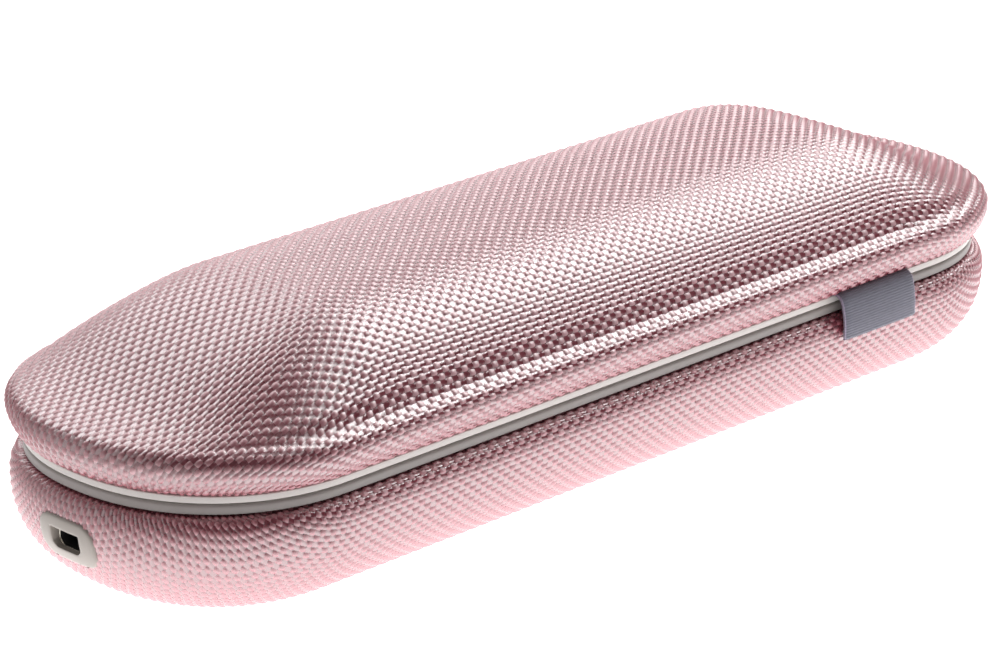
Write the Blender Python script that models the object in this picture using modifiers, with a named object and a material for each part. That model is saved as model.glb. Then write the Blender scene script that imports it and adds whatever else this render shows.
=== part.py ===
"""Travel case for an electric toothbrush: a woven-covered hinged pill that charges the brush inside.

The case lies along X with its charging socket at the -X end, the pull tab on the long side at -Y
and the hinge on the long side at +Y. Heights in the pieces' own sizes are measured from the seam,
the plane where lid and base meet. The finished case stands on z = 0.
"""

import math

import bmesh
import bpy
from mathutils import Matrix, Vector

MM = 0.001

# Plan of the case at the seam: a pill whose ends are a little squarer than half circles
SEAM_HALF_LENGTH = 108.0 * MM
SEAM_HALF_WIDTH = 32.3 * MM
END_EXPONENT = 2.16
END_STEPS = 12
side_shares = (0.1, 0.3, 0.5, 0.7, 0.9)

# Heights and depths of the two halves from the seam
BASE_DEPTH = 24.6 * MM
LID_EDGE_HEIGHT = 9.6 * MM
LID_RISE = 14.5 * MM

# Gap that fixed neighbours keep, and half of the gap in the seam
FIT_GAP = 0.3 * MM
SEAM_HALF_GAP = 0.15 * MM
CUT_OVERRUN = 4.0 * MM

# Layers of the walls, from the outside in
FABRIC_THICKNESS = 1.2 * MM
SHELL_THICKNESS = 1.8 * MM
SHELL_GAP = 0.4 * MM
SHELL_DEPTH = FABRIC_THICKNESS + SHELL_GAP
INSIDE_DEPTH = SHELL_DEPTH + SHELL_THICKNESS

# Rims: the moulded frames that close the two fabric edges and show in the groove
LID_RIM_FACE = 0.85 * MM
BASE_RIM_FACE = 1.7 * MM
RIM_FLANGE_WIDTH = 8.0 * MM
RIM_FLANGE_THICKNESS = 1.0 * MM
RIM_WALL_THICKNESS = 1.0 * MM
RIM_WALL_GAP = 0.6 * MM
LID_RIM_WALL_HEIGHT = 5.0 * MM

# Hinge, whose axis lies in the groove at the back
HINGE_OUT = 2.0 * MM
HINGE_DROP = 0.5 * MM
KNUCKLE_RADIUS = 1.6 * MM
PIN_RADIUS = 0.6 * MM
HINGE_Y = SEAM_HALF_WIDTH + HINGE_OUT

# Toothbrush handle's line: the cradle, the charging hub and its coil share it
HANDLE_Y = -5.5 * MM
HANDLE_Z = -2.5 * MM
HUB_SETBACK = 14.8 * MM
HUB_LENGTH = 8.8 * MM
HUB_RADIUS = 9.0 * MM
HUB_BACK_X = HUB_SETBACK - SEAM_HALF_LENGTH


def clear_scene():
    for old in list(bpy.data.objects):
        bpy.data.objects.remove(old)


clear_scene()
case = bpy.data.collections.new("toothbrush_travel_case")
cutters = bpy.data.collections.new("cutters")
bpy.context.scene.collection.children.link(case)
bpy.context.scene.collection.children.link(cutters)


def empty(name, location):
    point = bpy.data.objects.new(name, None)
    point.location = location
    case.objects.link(point)
    return point


base_frame = empty("base_frame", (0, 0, BASE_DEPTH))
lid_hinge = empty("lid_hinge", (0, HINGE_Y, BASE_DEPTH - HINGE_DROP))
seam_to_parent = {
    "base": (base_frame, Matrix.Identity(4)),
    "lid": (lid_hinge, Matrix.Translation((0, -HINGE_Y, HINGE_DROP))),
}


def finish(name, red, green, blue, roughness, metallic=0.0):
    material = bpy.data.materials.new(name)
    material.use_nodes = True
    shader = material.node_tree.nodes["Principled BSDF"]
    shader.inputs["Base Color"].default_value = (red, green, blue, 1)
    shader.inputs["Roughness"].default_value = roughness
    shader.inputs["Metallic"].default_value = metallic
    return material


pink_weave = finish("pink_weave", 0.72, 0.40, 0.44, 0.45)
rim_plastic = finish("rim_plastic", 0.42, 0.40, 0.38, 0.35)
shell_plastic = finish("shell_plastic", 0.30, 0.29, 0.29, 0.55)
tray_plastic = finish("tray_plastic", 0.36, 0.34, 0.34, 0.60)
tab_fabric = finish("tab_fabric", 0.16, 0.14, 0.17, 0.70)
port_plastic = finish("port_plastic", 0.45, 0.43, 0.41, 0.40)
steel = finish("steel", 0.60, 0.60, 0.60, 0.25, 1.0)
nickel = finish("nickel", 0.66, 0.64, 0.60, 0.18, 1.0)
copper = finish("copper", 0.60, 0.28, 0.14, 0.30, 1.0)
ferrite = finish("ferrite", 0.05, 0.05, 0.06, 0.50)
board_green = finish("board_green", 0.03, 0.16, 0.07, 0.40)
black_plastic = finish("black_plastic", 0.02, 0.02, 0.02, 0.45)
lead_red = finish("lead_red", 0.45, 0.03, 0.03, 0.40)


def add(name, data, collection=case):
    piece = bpy.data.objects.new(name, data)
    collection.objects.link(piece)
    return piece


def seat(piece, half, material):
    """Hangs a piece, made in the seam's frame, on the base or on the lid's hinge line."""
    parent, offset = seam_to_parent[half]
    piece.parent = parent
    piece.matrix_parent_inverse = offset
    piece.data.materials.append(material)
    return piece


def cutter(piece):
    """Makes a helper of a piece: it shapes others and is no part of the case."""
    for collection in list(piece.users_collection):
        collection.objects.unlink(piece)
    cutters.objects.link(piece)
    piece.parent = base_frame
    piece.hide_render = True
    piece.display_type = "WIRE"
    return piece


def combine(piece, other, operation):
    boolean = piece.modifiers.new(operation.lower() + "_" + other.name, "BOOLEAN")
    boolean.operation = operation
    boolean.object = other


def mesh_of(name, form):
    mesh = bpy.data.meshes.new(name)
    form.to_mesh(mesh)
    form.free()
    mesh.shade_smooth()
    mesh.set_sharp_from_angle(angle=math.radians(35))
    return mesh


def box(name, low, high, bevel=0.0):
    low, high = Vector(low), Vector(high)
    form = bmesh.new()
    size = Matrix.Diagonal((*(high - low), 1))
    bmesh.ops.create_cube(form, size=1, matrix=Matrix.Translation((low + high) / 2) @ size)
    piece = add(name, mesh_of(name, form))
    if bevel:
        rounding = piece.modifiers.new("rounding", "BEVEL")
        rounding.width = bevel
        rounding.segments = 2
        rounding.limit_method = "ANGLE"
    return piece


def upright_cylinder(name, x, y, low, high, radius, steps=16):
    form = bmesh.new()
    bmesh.ops.create_cone(
        form, cap_ends=True, segments=steps, radius1=radius, radius2=radius, depth=high - low,
        matrix=Matrix.Translation((x, y, (low + high) / 2)),
    )
    return add(name, mesh_of(name, form))


def turned(name, profile, place, along_x=True, steps=24):
    """A turned piece from (radius, height) points, listed from the top down its outer side."""
    form = bmesh.new()
    points = [form.verts.new((radius, 0, height)) for radius, height in profile]
    closed = profile[0][0] > 0
    for start, end in zip(points, points[1:] + points[:1] if closed else points[1:]):
        form.edges.new((start, end))
    piece = add(name, mesh_of(name, form))
    screw = piece.modifiers.new("turning", "SCREW")
    screw.steps = steps
    screw.render_steps = steps
    screw.use_merge_vertices = True
    screw.merge_threshold = MM / 100
    piece.location = place
    if along_x:
        piece.rotation_euler = (0, math.pi / 2, 0)
    return piece


def prism(name, outline, start, end):
    """A flat outline of (y, z) points extruded along X."""
    form = bmesh.new()
    face = form.faces.new([form.verts.new((start, y, z)) for y, z in outline])
    lifted = bmesh.ops.extrude_face_region(form, geom=[face])["geom"]
    moved = [part for part in lifted if isinstance(part, bmesh.types.BMVert)]
    bmesh.ops.translate(form, verts=moved, vec=(end - start, 0, 0))
    bmesh.ops.recalc_face_normals(form, faces=form.faces)
    return add(name, mesh_of(name, form))


def rounded_outline(half_width, half_height, radius, centre_y, centre_z, steps=4):
    """Points of a rectangle with round corners in the YZ plane."""
    points = []
    for quarter, (side, level) in enumerate(((1, 1), (-1, 1), (-1, -1), (1, -1))):
        for step in range(steps + 1):
            angle = (quarter + step / steps) * math.pi / 2
            points.append((
                centre_y + side * (half_width - radius) + radius * math.cos(angle),
                centre_z + level * (half_height - radius) + radius * math.sin(angle),
            ))
    return points


def pill(offset, shrink=1.0):
    """Plan points of the case, counter-clockwise, moved out by offset or drawn in to the middle line."""
    centre = SEAM_HALF_LENGTH - SEAM_HALF_WIDTH
    points = []
    for end in (1, -1):
        for step in range(END_STEPS + 1):
            angle = math.pi * (step / END_STEPS - 0.5)
            cos, sin = abs(math.cos(angle)), math.sin(angle)
            side = math.copysign(1, sin)
            normal = Vector((cos ** (2 - 2 / END_EXPONENT), side * abs(sin) ** (2 - 2 / END_EXPONENT)))
            at_seam = Vector((cos ** (2 / END_EXPONENT), side * abs(sin) ** (2 / END_EXPONENT)))
            reach = shrink * (SEAM_HALF_WIDTH * at_seam + offset * normal.normalized())
            points.append((end * (centre + reach.x), end * reach.y))
        for share in side_shares:
            x = end * centre * (1 - 2 * share)
            points.append((x, end * shrink * (SEAM_HALF_WIDTH + offset)))
    return points


def pill_distance(x, y):
    """How far a plan point lies from the pill's middle line. The seam is at SEAM_HALF_WIDTH."""
    past_straight = max(abs(x) - (SEAM_HALF_LENGTH - SEAM_HALF_WIDTH), 0)
    return (past_straight ** END_EXPONENT + abs(y) ** END_EXPONENT) ** (1 / END_EXPONENT)


def ring(offset, height, shrink=1.0):
    """A ring of 3-D points round the pill. The height is a number or a function of the plan point."""
    if callable(height):
        return [(x, y, height(x, y)) for x, y in pill(offset, shrink)]
    return [(x, y, height) for x, y in pill(offset, shrink)]


def close_ring(form, points, upward):
    """Fills a ring of the pill with faces that run across its width."""
    count = len(points)
    tip = END_STEPS // 2
    for step in range(count // 2):
        near = points[(tip - step) % count], points[(tip - step - 1) % count]
        far = points[(tip + step) % count], points[(tip + step + 1) % count]
        corners = list(dict.fromkeys((near[1], near[0], far[0], far[1])))
        form.faces.new(corners if upward else corners[::-1])


def loft(name, rings, close_last=False, close_first=False, close_round=False):
    """A surface through rings, each running counter-clockwise, from the lowest outer one up.

    close_last and close_first fill the end rings, and close_round joins the last ring to the first.
    """
    form = bmesh.new()
    rows = [[form.verts.new(point) for point in points] for points in rings]
    count = len(rows[0])
    pairs = list(zip(rows, rows[1:] + rows[:1] if close_round else rows[1:]))
    for low, high in pairs:
        for here in range(count):
            there = (here + 1) % count
            form.faces.new((low[here], low[there], high[there], high[here]))
    if close_last:
        close_ring(form, rows[-1], upward=True)
    if close_first:
        close_ring(form, rows[0], upward=False)
    return add(name, mesh_of(name, form))


def thicken(piece, thickness):
    """Gives an open surface its wall, on the side that its faces turn away from."""
    wall = piece.modifiers.new("wall", "SOLIDIFY")
    wall.thickness = thickness
    wall.offset = -1
    wall.use_even_offset = True


def side_point(share, widest, width, drop, exponent, depth):
    """(offset, height) on a rounded side, at a depth under its face.

    The side runs from its widest point, share 0, in by width and down by drop, share 1.
    """
    cos, sin = abs(math.cos(math.pi / 2 * share)), math.sin(math.pi / 2 * share)
    out = widest[0] - width * (1 - cos ** (2 / exponent))
    height = widest[1] - drop * sin ** (2 / exponent)
    normal = Vector((cos ** (2 - 2 / exponent) / width, -sin ** (2 - 2 / exponent) / drop))
    normal.normalize()
    return out - depth * normal.x, height - depth * normal.y


# Lid form: a bulging side band, a tight round edge, then a long rounded rise over the brush handle
LID_FOOT_OUT = 0.3 * MM
LID_OVERHANG = 2.9 * MM
LID_FABRIC_FOOT = SEAM_HALF_GAP + LID_RIM_FACE + FIT_GAP
LID_BAND_EXPONENT = 1.5
LID_EDGE_RADIUS = 2.5 * MM
LID_LEDGE = 3.0 * MM
RISE_HALF_WIDTH = SEAM_HALF_WIDTH + LID_OVERHANG - LID_LEDGE
RISE_EXPONENT = 3.54
RISE_FOOT_SOFTNESS = 0.15
RISE_START_PAST_END = 6.5 * MM
RISE_LENGTH = 54.0 * MM
FALL_END_PAST_END = 6.0 * MM
FALL_LENGTH = 50.7 * MM
RISE_START_X = -(SEAM_HALF_LENGTH + RISE_START_PAST_END)
FALL_END_X = SEAM_HALF_LENGTH + FALL_END_PAST_END
SLOPE_STEP = 0.2 * MM
fabric_band_shares = (1.0, 0.75, 0.5, 0.25, 0.0)
shell_band_shares = (0.7, 0.45, 0.2)
lid_edge_shares = (1 / 3, 2 / 3, 1.0)
lid_top_shares = (0.955, 0.915, 0.86, 0.79, 0.69, 0.55, 0.3)


def ramp(position, start, full):
    share = min(max((position - start) / (full - start), 0), 1)
    return share * share * (3 - 2 * share)


def lid_rise(x, y):
    """Height of the long raised form over the lid's edge."""
    inside = 1 - min(pill_distance(x, y) / RISE_HALF_WIDTH, 2) ** RISE_EXPONENT
    across = (inside + math.hypot(inside, RISE_FOOT_SOFTNESS)) / 2
    rise = ramp(x, RISE_START_X, RISE_START_X + RISE_LENGTH)
    fall = ramp(x, FALL_END_X, FALL_END_X - FALL_LENGTH)
    return LID_RISE * across * rise * fall


def lid_top(x, y, depth):
    """Height of the lid's top at a depth under its outer face, measured square to the slope."""
    slope_x = (lid_rise(x + SLOPE_STEP, y) - lid_rise(x - SLOPE_STEP, y)) / (2 * SLOPE_STEP)
    slope_y = (lid_rise(x, y + SLOPE_STEP) - lid_rise(x, y - SLOPE_STEP)) / (2 * SLOPE_STEP)
    return LID_EDGE_HEIGHT + lid_rise(x, y) - depth * math.sqrt(1 + slope_x ** 2 + slope_y ** 2)


def lid_band_point(share, depth):
    """(offset, height) on the lid's side band, from its widest line down to the foot in the groove."""
    widest = LID_OVERHANG, LID_EDGE_HEIGHT - LID_EDGE_RADIUS
    width, drop = LID_OVERHANG - LID_FOOT_OUT, widest[1] - LID_FABRIC_FOOT
    return side_point(share, widest, width, drop, LID_BAND_EXPONENT, depth)


LID_RIM_WALL_INSET = RIM_WALL_GAP - lid_band_point(shell_band_shares[0], INSIDE_DEPTH)[0]


def lid_skin(name, depth, band_shares, thickness):
    """One layer of the lid's wall, from its foot in the groove over the edge to the middle."""
    band = [lid_band_point(share, depth) for share in band_shares]
    rings = [ring(out, height) for out, height in band]
    edge_out, edge_height = band[-1]
    radius = LID_EDGE_HEIGHT - depth - edge_height
    for share in lid_edge_shares:
        angle = math.pi / 2 * share
        rings.append(ring(edge_out - radius * (1 - math.cos(angle)), edge_height + radius * math.sin(angle)))
    for share in lid_top_shares:
        rings.append(ring(edge_out - radius, lambda x, y: lid_top(x, y, depth), share))
    piece = loft(name, rings, close_last=True)
    thicken(piece, thickness)
    return piece


# Base form: the fabric rolls out of the groove over a lip, then sweeps down to a flat bottom
BASE_OVERHANG = 2.4 * MM
BASE_LIP_DEPTH = 6.0 * MM
BASE_FABRIC_TOP = SEAM_HALF_GAP + BASE_RIM_FACE + FIT_GAP
BASE_SWEEP_WIDTH = 26.0 * MM
BASE_SWEEP_EXPONENT = 2.3
fabric_lip_shares = (0.0, 0.25, 0.5, 0.75, 1.0)
shell_lip_shares = (0.0, 0.3, 0.6)
base_sweep_shares = (1.0, 0.83, 0.67, 0.53, 0.4, 0.27, 0.14)


def base_side_point(share, depth):
    """(offset, height) on the base's side, from its widest line down to the flat bottom."""
    widest = BASE_OVERHANG, -BASE_LIP_DEPTH
    drop = BASE_DEPTH - BASE_LIP_DEPTH
    return side_point(share, widest, BASE_SWEEP_WIDTH, drop, BASE_SWEEP_EXPONENT, depth)


def base_lip_point(share, depth):
    """(offset, height) on the base's lip, from its widest line up to the rim."""
    widest = BASE_OVERHANG, -BASE_LIP_DEPTH
    return side_point(share, widest, BASE_OVERHANG, BASE_FABRIC_TOP - BASE_LIP_DEPTH, 2, depth)


BASE_RIM_WALL_INSET = RIM_WALL_GAP - base_lip_point(shell_lip_shares[-1], INSIDE_DEPTH)[0]


def base_rings(lip_shares, depth):
    """Rings of the base's wall from its flat bottom up to the lip, at a depth under its outer face."""
    side = [base_side_point(share, depth) for share in base_sweep_shares]
    lip = [base_lip_point(share, depth) for share in lip_shares]
    return [ring(out, height) for out, height in side + lip]


def base_skin(name, lip_shares, depth, thickness):
    """One layer of the base's wall, from the bottom's middle up to its lip."""
    piece = loft(name, base_rings(lip_shares, depth), close_first=True)
    thicken(piece, thickness)
    return piece


def base_core(name, depth):
    """Solid filling of the base, at a depth under its outer face."""
    rings = base_rings(fabric_lip_shares[:1], depth)
    rings.append(ring(BASE_OVERHANG - depth, 0))
    return cutter(loft(name, rings, close_first=True, close_last=True))


# Charging socket in the -X end and its bezel, between the shell's lip and its floor
SHELL_LIP_HEIGHT = base_lip_point(shell_lip_shares[-1], SHELL_DEPTH)[1]
INSIDE_FLOOR = INSIDE_DEPTH - BASE_DEPTH
port_level_share = 0.375
PORT_DROP = -SHELL_LIP_HEIGHT + port_level_share * (SHELL_LIP_HEIGHT - INSIDE_FLOOR)
BEZEL_HALF_WIDTH = 7.0 * MM
BEZEL_HALF_HEIGHT = 4.3 * MM
BEZEL_CORNER = 3.4 * MM
BEZEL_THICKNESS = 3.0 * MM
SOCKET_HALF_WIDTH = 3.85 * MM
SOCKET_HALF_HEIGHT = 1.95 * MM
SOCKET_CHAMFER = 1.1 * MM
SOCKET_WALL = 0.3 * MM
SOCKET_LENGTH = 9.0 * MM
SOCKET_RECESS = 0.8 * MM
TONGUE_HALF_WIDTH = 2.0 * MM
TONGUE_HALF_HEIGHT = 0.4 * MM
TONGUE_LENGTH = 6.0 * MM
PORT_FACE_INSET = 0.6 * MM
PORT_FACE_X = -(SEAM_HALF_LENGTH + BASE_OVERHANG - PORT_FACE_INSET)
BASE_RIM_WALL_HEIGHT = PORT_DROP - BEZEL_HALF_HEIGHT - FIT_GAP - SEAM_HALF_GAP
SOCKET_FRONT_X = PORT_FACE_X + SOCKET_RECESS
SOCKET_BACK_X = SOCKET_FRONT_X + SOCKET_LENGTH


def socket_outline(growth):
    """The socket's section: a rectangle whose lower corners are cut off, moved out by growth."""
    wide = SOCKET_HALF_WIDTH + growth
    high = SOCKET_HALF_HEIGHT + growth
    cut = SOCKET_CHAMFER
    return [
        (wide, high - PORT_DROP),
        (-wide, high - PORT_DROP),
        (-wide, cut - high - PORT_DROP),
        (cut - wide, -high - PORT_DROP),
        (wide - cut, -high - PORT_DROP),
        (wide, cut - high - PORT_DROP),
    ]


def port_hole(name, growth):
    outline = rounded_outline(
        BEZEL_HALF_WIDTH + growth, BEZEL_HALF_HEIGHT + growth, BEZEL_CORNER + growth, 0, -PORT_DROP
    )
    reach = BEZEL_THICKNESS + CUT_OVERRUN
    return prism(name, outline, PORT_FACE_X - CUT_OVERRUN, PORT_FACE_X + reach)


def make_port():
    bezel = port_hole("usb_bezel", 0)
    skin = cutter(base_skin("bezel_layer", fabric_lip_shares, 0, BEZEL_THICKNESS))
    combine(bezel, skin, "INTERSECT")
    opening = prism(
        "socket_opening", socket_outline(FIT_GAP), PORT_FACE_X - CUT_OVERRUN, SOCKET_BACK_X
    )
    combine(bezel, cutter(opening), "DIFFERENCE")
    seat(bezel, "base", port_plastic)

    socket = prism("usb_socket", socket_outline(0), SOCKET_FRONT_X, SOCKET_BACK_X)
    mouth = prism(
        "socket_mouth", socket_outline(-SOCKET_WALL),
        SOCKET_FRONT_X - CUT_OVERRUN, SOCKET_BACK_X - SOCKET_WALL,
    )
    combine(socket, cutter(mouth), "DIFFERENCE")
    seat(socket, "base", nickel)

    tongue_end = SOCKET_BACK_X - SOCKET_WALL - FIT_GAP
    tongue = box(
        "usb_tongue",
        (tongue_end - TONGUE_LENGTH, -TONGUE_HALF_WIDTH, -TONGUE_HALF_HEIGHT - PORT_DROP),
        (tongue_end, TONGUE_HALF_WIDTH, TONGUE_HALF_HEIGHT - PORT_DROP),
    )
    seat(tongue, "base", black_plastic)


# Circuit board under the socket, behind the hub, and its parts
BOARD_THICKNESS = 1.6 * MM
BOARD_TOP = -PORT_DROP - SOCKET_HALF_HEIGHT - FIT_GAP
BOARD_SETBACK = 5.2 * MM
BOARD_HUB_GAP = 0.5 * MM
BOARD_HALF_WIDTH = 8.6 * MM
BOARD_SCREW_INSET = 1.9 * MM
BOARD_REST_INSET = 2.5 * MM
BOARD_LOW_X = BOARD_SETBACK - SEAM_HALF_LENGTH
BOARD_HIGH_X = HUB_BACK_X - BOARD_HUB_GAP
BOARD_LENGTH = BOARD_HIGH_X - BOARD_LOW_X
BOARD_SCREW_X = BOARD_LOW_X + BOARD_SCREW_INSET
BOARD_SCREW_Y = BOARD_HALF_WIDTH - BOARD_SCREW_INSET
BOARD_BOSS_RADIUS = 1.7 * MM
BOARD_SCREW_SHANK = 0.6 * MM
BOARD_SCREW_HEAD = 1.4 * MM
BOARD_SCREW_HEAD_HEIGHT = 0.8 * MM
BOARD_SCREW_LENGTH = 4.0 * MM
BOARD_HOLE_RADIUS = BOARD_SCREW_SHANK + FIT_GAP
CHIP_HEIGHT = 1.0 * MM
DRIVER_CHIP_HALF = 2.0 * MM
REGULATOR_HALF = 1.5 * MM
INDUCTOR_HALF = 2.3 * MM
INDUCTOR_HEIGHT = 2.6 * MM
CAPACITOR_RADIUS = 1.6 * MM
CAPACITOR_HEIGHT = 3.2 * MM
CHIP_BEVEL = 0.15 * MM
SCREW_CROWN_SHARE = 0.7
driver_chip_shares = (0.72, 0.47)
regulator_shares = (0.72, -0.5)
inductor_shares = (0.68, 0.52)
capacitor_shares = (0.55, -0.56)


def on_board(shares):
    """Plan point at shares of the board's length and half width."""
    return BOARD_LOW_X + shares[0] * BOARD_LENGTH, shares[1] * BOARD_HALF_WIDTH


def make_board():
    board = box(
        "circuit_board",
        (BOARD_LOW_X, -BOARD_HALF_WIDTH, BOARD_TOP - BOARD_THICKNESS),
        (BOARD_HIGH_X, BOARD_HALF_WIDTH, BOARD_TOP),
    )
    for index, side in enumerate((-1, 1), start=1):
        y = side * BOARD_SCREW_Y
        hole = upright_cylinder(
            f"board_hole_{index}", BOARD_SCREW_X, y,
            BOARD_TOP - BOARD_THICKNESS - CUT_OVERRUN, BOARD_TOP + CUT_OVERRUN, BOARD_HOLE_RADIUS,
        )
        combine(board, cutter(hole), "DIFFERENCE")
        make_screw(
            f"board_screw_{index}", BOARD_SCREW_X, y, BOARD_HEAD_LOW,
            BOARD_SCREW_HEAD, BOARD_SCREW_HEAD_HEIGHT, BOARD_SCREW_SHANK, BOARD_SCREW_LENGTH,
        )
    seat(board, "base", board_green)

    under = BOARD_TOP - BOARD_THICKNESS - FIT_GAP
    over = BOARD_TOP + FIT_GAP
    for name, shares, half in (
        ("driver_chip", driver_chip_shares, DRIVER_CHIP_HALF),
        ("regulator_chip", regulator_shares, REGULATOR_HALF),
    ):
        x, y = on_board(shares)
        chip = box(name, (x - half, y - half, under - CHIP_HEIGHT), (x + half, y + half, under), CHIP_BEVEL)
        seat(chip, "base", black_plastic)
    x, y = on_board(inductor_shares)
    inductor = box(
        "inductor",
        (x - INDUCTOR_HALF, y - INDUCTOR_HALF, over),
        (x + INDUCTOR_HALF, y + INDUCTOR_HALF, over + INDUCTOR_HEIGHT),
        CHIP_BEVEL,
    )
    seat(inductor, "base", ferrite)
    capacitor = upright_cylinder(
        "capacitor", *on_board(capacitor_shares), over, over + CAPACITOR_HEIGHT, CAPACITOR_RADIUS
    )
    seat(capacitor, "base", nickel)


def make_screw(name, x, y, head_low, head_radius, head_height, shank_radius, length):
    """A pan-head screw that stands upright, from its head down to its tip."""
    tip_radius = shank_radius / 2
    profile = [
        (0, head_height),
        (head_radius * SCREW_CROWN_SHARE, head_height),
        (head_radius, head_height / 2),
        (head_radius, 0),
        (shank_radius, 0),
        (shank_radius, tip_radius - length),
        (tip_radius, -length),
        (0, -length),
    ]
    screw = turned(name, profile, (x, y, head_low), along_x=False, steps=12)
    seat(screw, "base", steel)


# Charging hub: a turned housing with a post for the handle's socket, and the coil inside it
HUB_WALL = 1.1 * MM
HUB_FACE = 1.2 * MM
POST_RADIUS = 3.6 * MM
POST_LENGTH = 4.2 * MM
CORE_RADIUS = 2.3 * MM
CAP_THICKNESS = 1.2 * MM
BOBBIN_TUBE_WALL = 0.8 * MM
BOBBIN_FLANGE = 0.8 * MM
EAR_HALF_LENGTH = 2.6 * MM
EAR_THICKNESS = 1.0 * MM
EAR_END = 2.4 * MM
CAP_NOTCH_HALF = 1.4 * MM
CAP_NOTCH_DEPTH = 2.2 * MM
HUB_INSIDE = HUB_RADIUS - HUB_WALL
COIL_SPACE = HUB_INSIDE - FIT_GAP

# Tray and its screws
DECK_TOP = -3.75 * MM
DECK_THICKNESS = 1.0 * MM
TRAY_WALL = 1.0 * MM
TRAY_SCREW_SETBACK = 20.0 * MM
TRAY_SCREW_FRONT_INSET = 13.3 * MM
TRAY_SCREW_BACK_INSET = 18.8 * MM
TRAY_SCREW_HEAD = 1.6 * MM
TRAY_SCREW_HEAD_HEIGHT = 0.7 * MM
TRAY_SCREW_SHANK = 0.85 * MM
TRAY_SCREW_LENGTH = 8.0 * MM
TRAY_HOLE_RADIUS = TRAY_SCREW_SHANK + FIT_GAP
BOSS_RADIUS = 2.1 * MM
BOSS_GAP = 0.7 * MM
HUB_SCREW_X = HUB_BACK_X + HUB_LENGTH / 2
HUB_SCREW_FRONT_Y = HANDLE_Y - HUB_RADIUS - BOSS_RADIUS - BOSS_GAP
HUB_SCREW_BACK_Y = BOARD_HALF_WIDTH + BOSS_RADIUS + BOSS_GAP
TRAY_HEAD_LOW = DECK_TOP + FIT_GAP
EAR_HEAD_LOW = TRAY_HEAD_LOW + EAR_THICKNESS + FIT_GAP
BOARD_HEAD_LOW = BOARD_TOP + FIT_GAP
tray_screw_places = (
    (HUB_SCREW_X, HUB_SCREW_FRONT_Y, EAR_HEAD_LOW),
    (HUB_SCREW_X, HUB_SCREW_BACK_Y, EAR_HEAD_LOW),
    (SEAM_HALF_LENGTH - TRAY_SCREW_SETBACK, TRAY_SCREW_FRONT_INSET - SEAM_HALF_WIDTH, TRAY_HEAD_LOW),
    (SEAM_HALF_LENGTH - TRAY_SCREW_SETBACK, SEAM_HALF_WIDTH - TRAY_SCREW_BACK_INSET, TRAY_HEAD_LOW),
)


def make_hub():
    front = HUB_LENGTH
    post_top = HUB_LENGTH + POST_LENGTH
    post_inside = CORE_RADIUS + FIT_GAP
    cavity_top = front - HUB_FACE
    hub = turned(
        "charging_hub",
        [
            (0, post_top),
            (POST_RADIUS - HUB_FACE / 2, post_top),
            (POST_RADIUS, post_top - HUB_FACE / 2),
            (POST_RADIUS, front),
            (HUB_RADIUS - HUB_FACE / 2, front),
            (HUB_RADIUS, front - HUB_FACE / 2),
            (HUB_RADIUS, 0),
            (HUB_INSIDE, 0),
            (HUB_INSIDE, cavity_top),
            (post_inside, cavity_top),
            (post_inside, post_top - HUB_FACE),
            (0, post_top - HUB_FACE),
        ],
        (HUB_BACK_X, HANDLE_Y, HANDLE_Z),
    )
    ear_low = DECK_TOP + FIT_GAP
    for name, root, end in (
        ("front_ear", HANDLE_Y - HUB_RADIUS + HUB_WALL, HUB_SCREW_FRONT_Y - EAR_END),
        ("back_ear", HANDLE_Y + HUB_RADIUS - HUB_WALL, HUB_SCREW_BACK_Y + EAR_END),
    ):
        ear = box(
            name,
            (HUB_SCREW_X - EAR_HALF_LENGTH, min(root, end), ear_low),
            (HUB_SCREW_X + EAR_HALF_LENGTH, max(root, end), ear_low + EAR_THICKNESS),
        )
        combine(hub, cutter(ear), "UNION")
    for name, y in (("front_ear_hole", HUB_SCREW_FRONT_Y), ("back_ear_hole", HUB_SCREW_BACK_Y)):
        hole = upright_cylinder(
            name, HUB_SCREW_X, y, ear_low - CUT_OVERRUN, ear_low + CUT_OVERRUN, TRAY_HOLE_RADIUS
        )
        combine(hub, cutter(hole), "DIFFERENCE")
    seat(hub, "base", tray_plastic)

    cap = turned(
        "hub_cap",
        [(0, CAP_THICKNESS), (COIL_SPACE, CAP_THICKNESS), (COIL_SPACE, 0), (0, 0)],
        (HUB_BACK_X, HANDLE_Y, HANDLE_Z),
    )
    notch = box(
        "lead_notch",
        (HUB_BACK_X - CUT_OVERRUN, HANDLE_Y - CAP_NOTCH_HALF, HANDLE_Z - HUB_RADIUS),
        (HUB_BACK_X + CUT_OVERRUN, HANDLE_Y + CAP_NOTCH_HALF, HANDLE_Z - COIL_SPACE + CAP_NOTCH_DEPTH),
    )
    combine(cap, cutter(notch), "DIFFERENCE")
    seat(cap, "base", tray_plastic)
    make_coil(CAP_THICKNESS + FIT_GAP, cavity_top - FIT_GAP, post_top - HUB_FACE - FIT_GAP)


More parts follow.
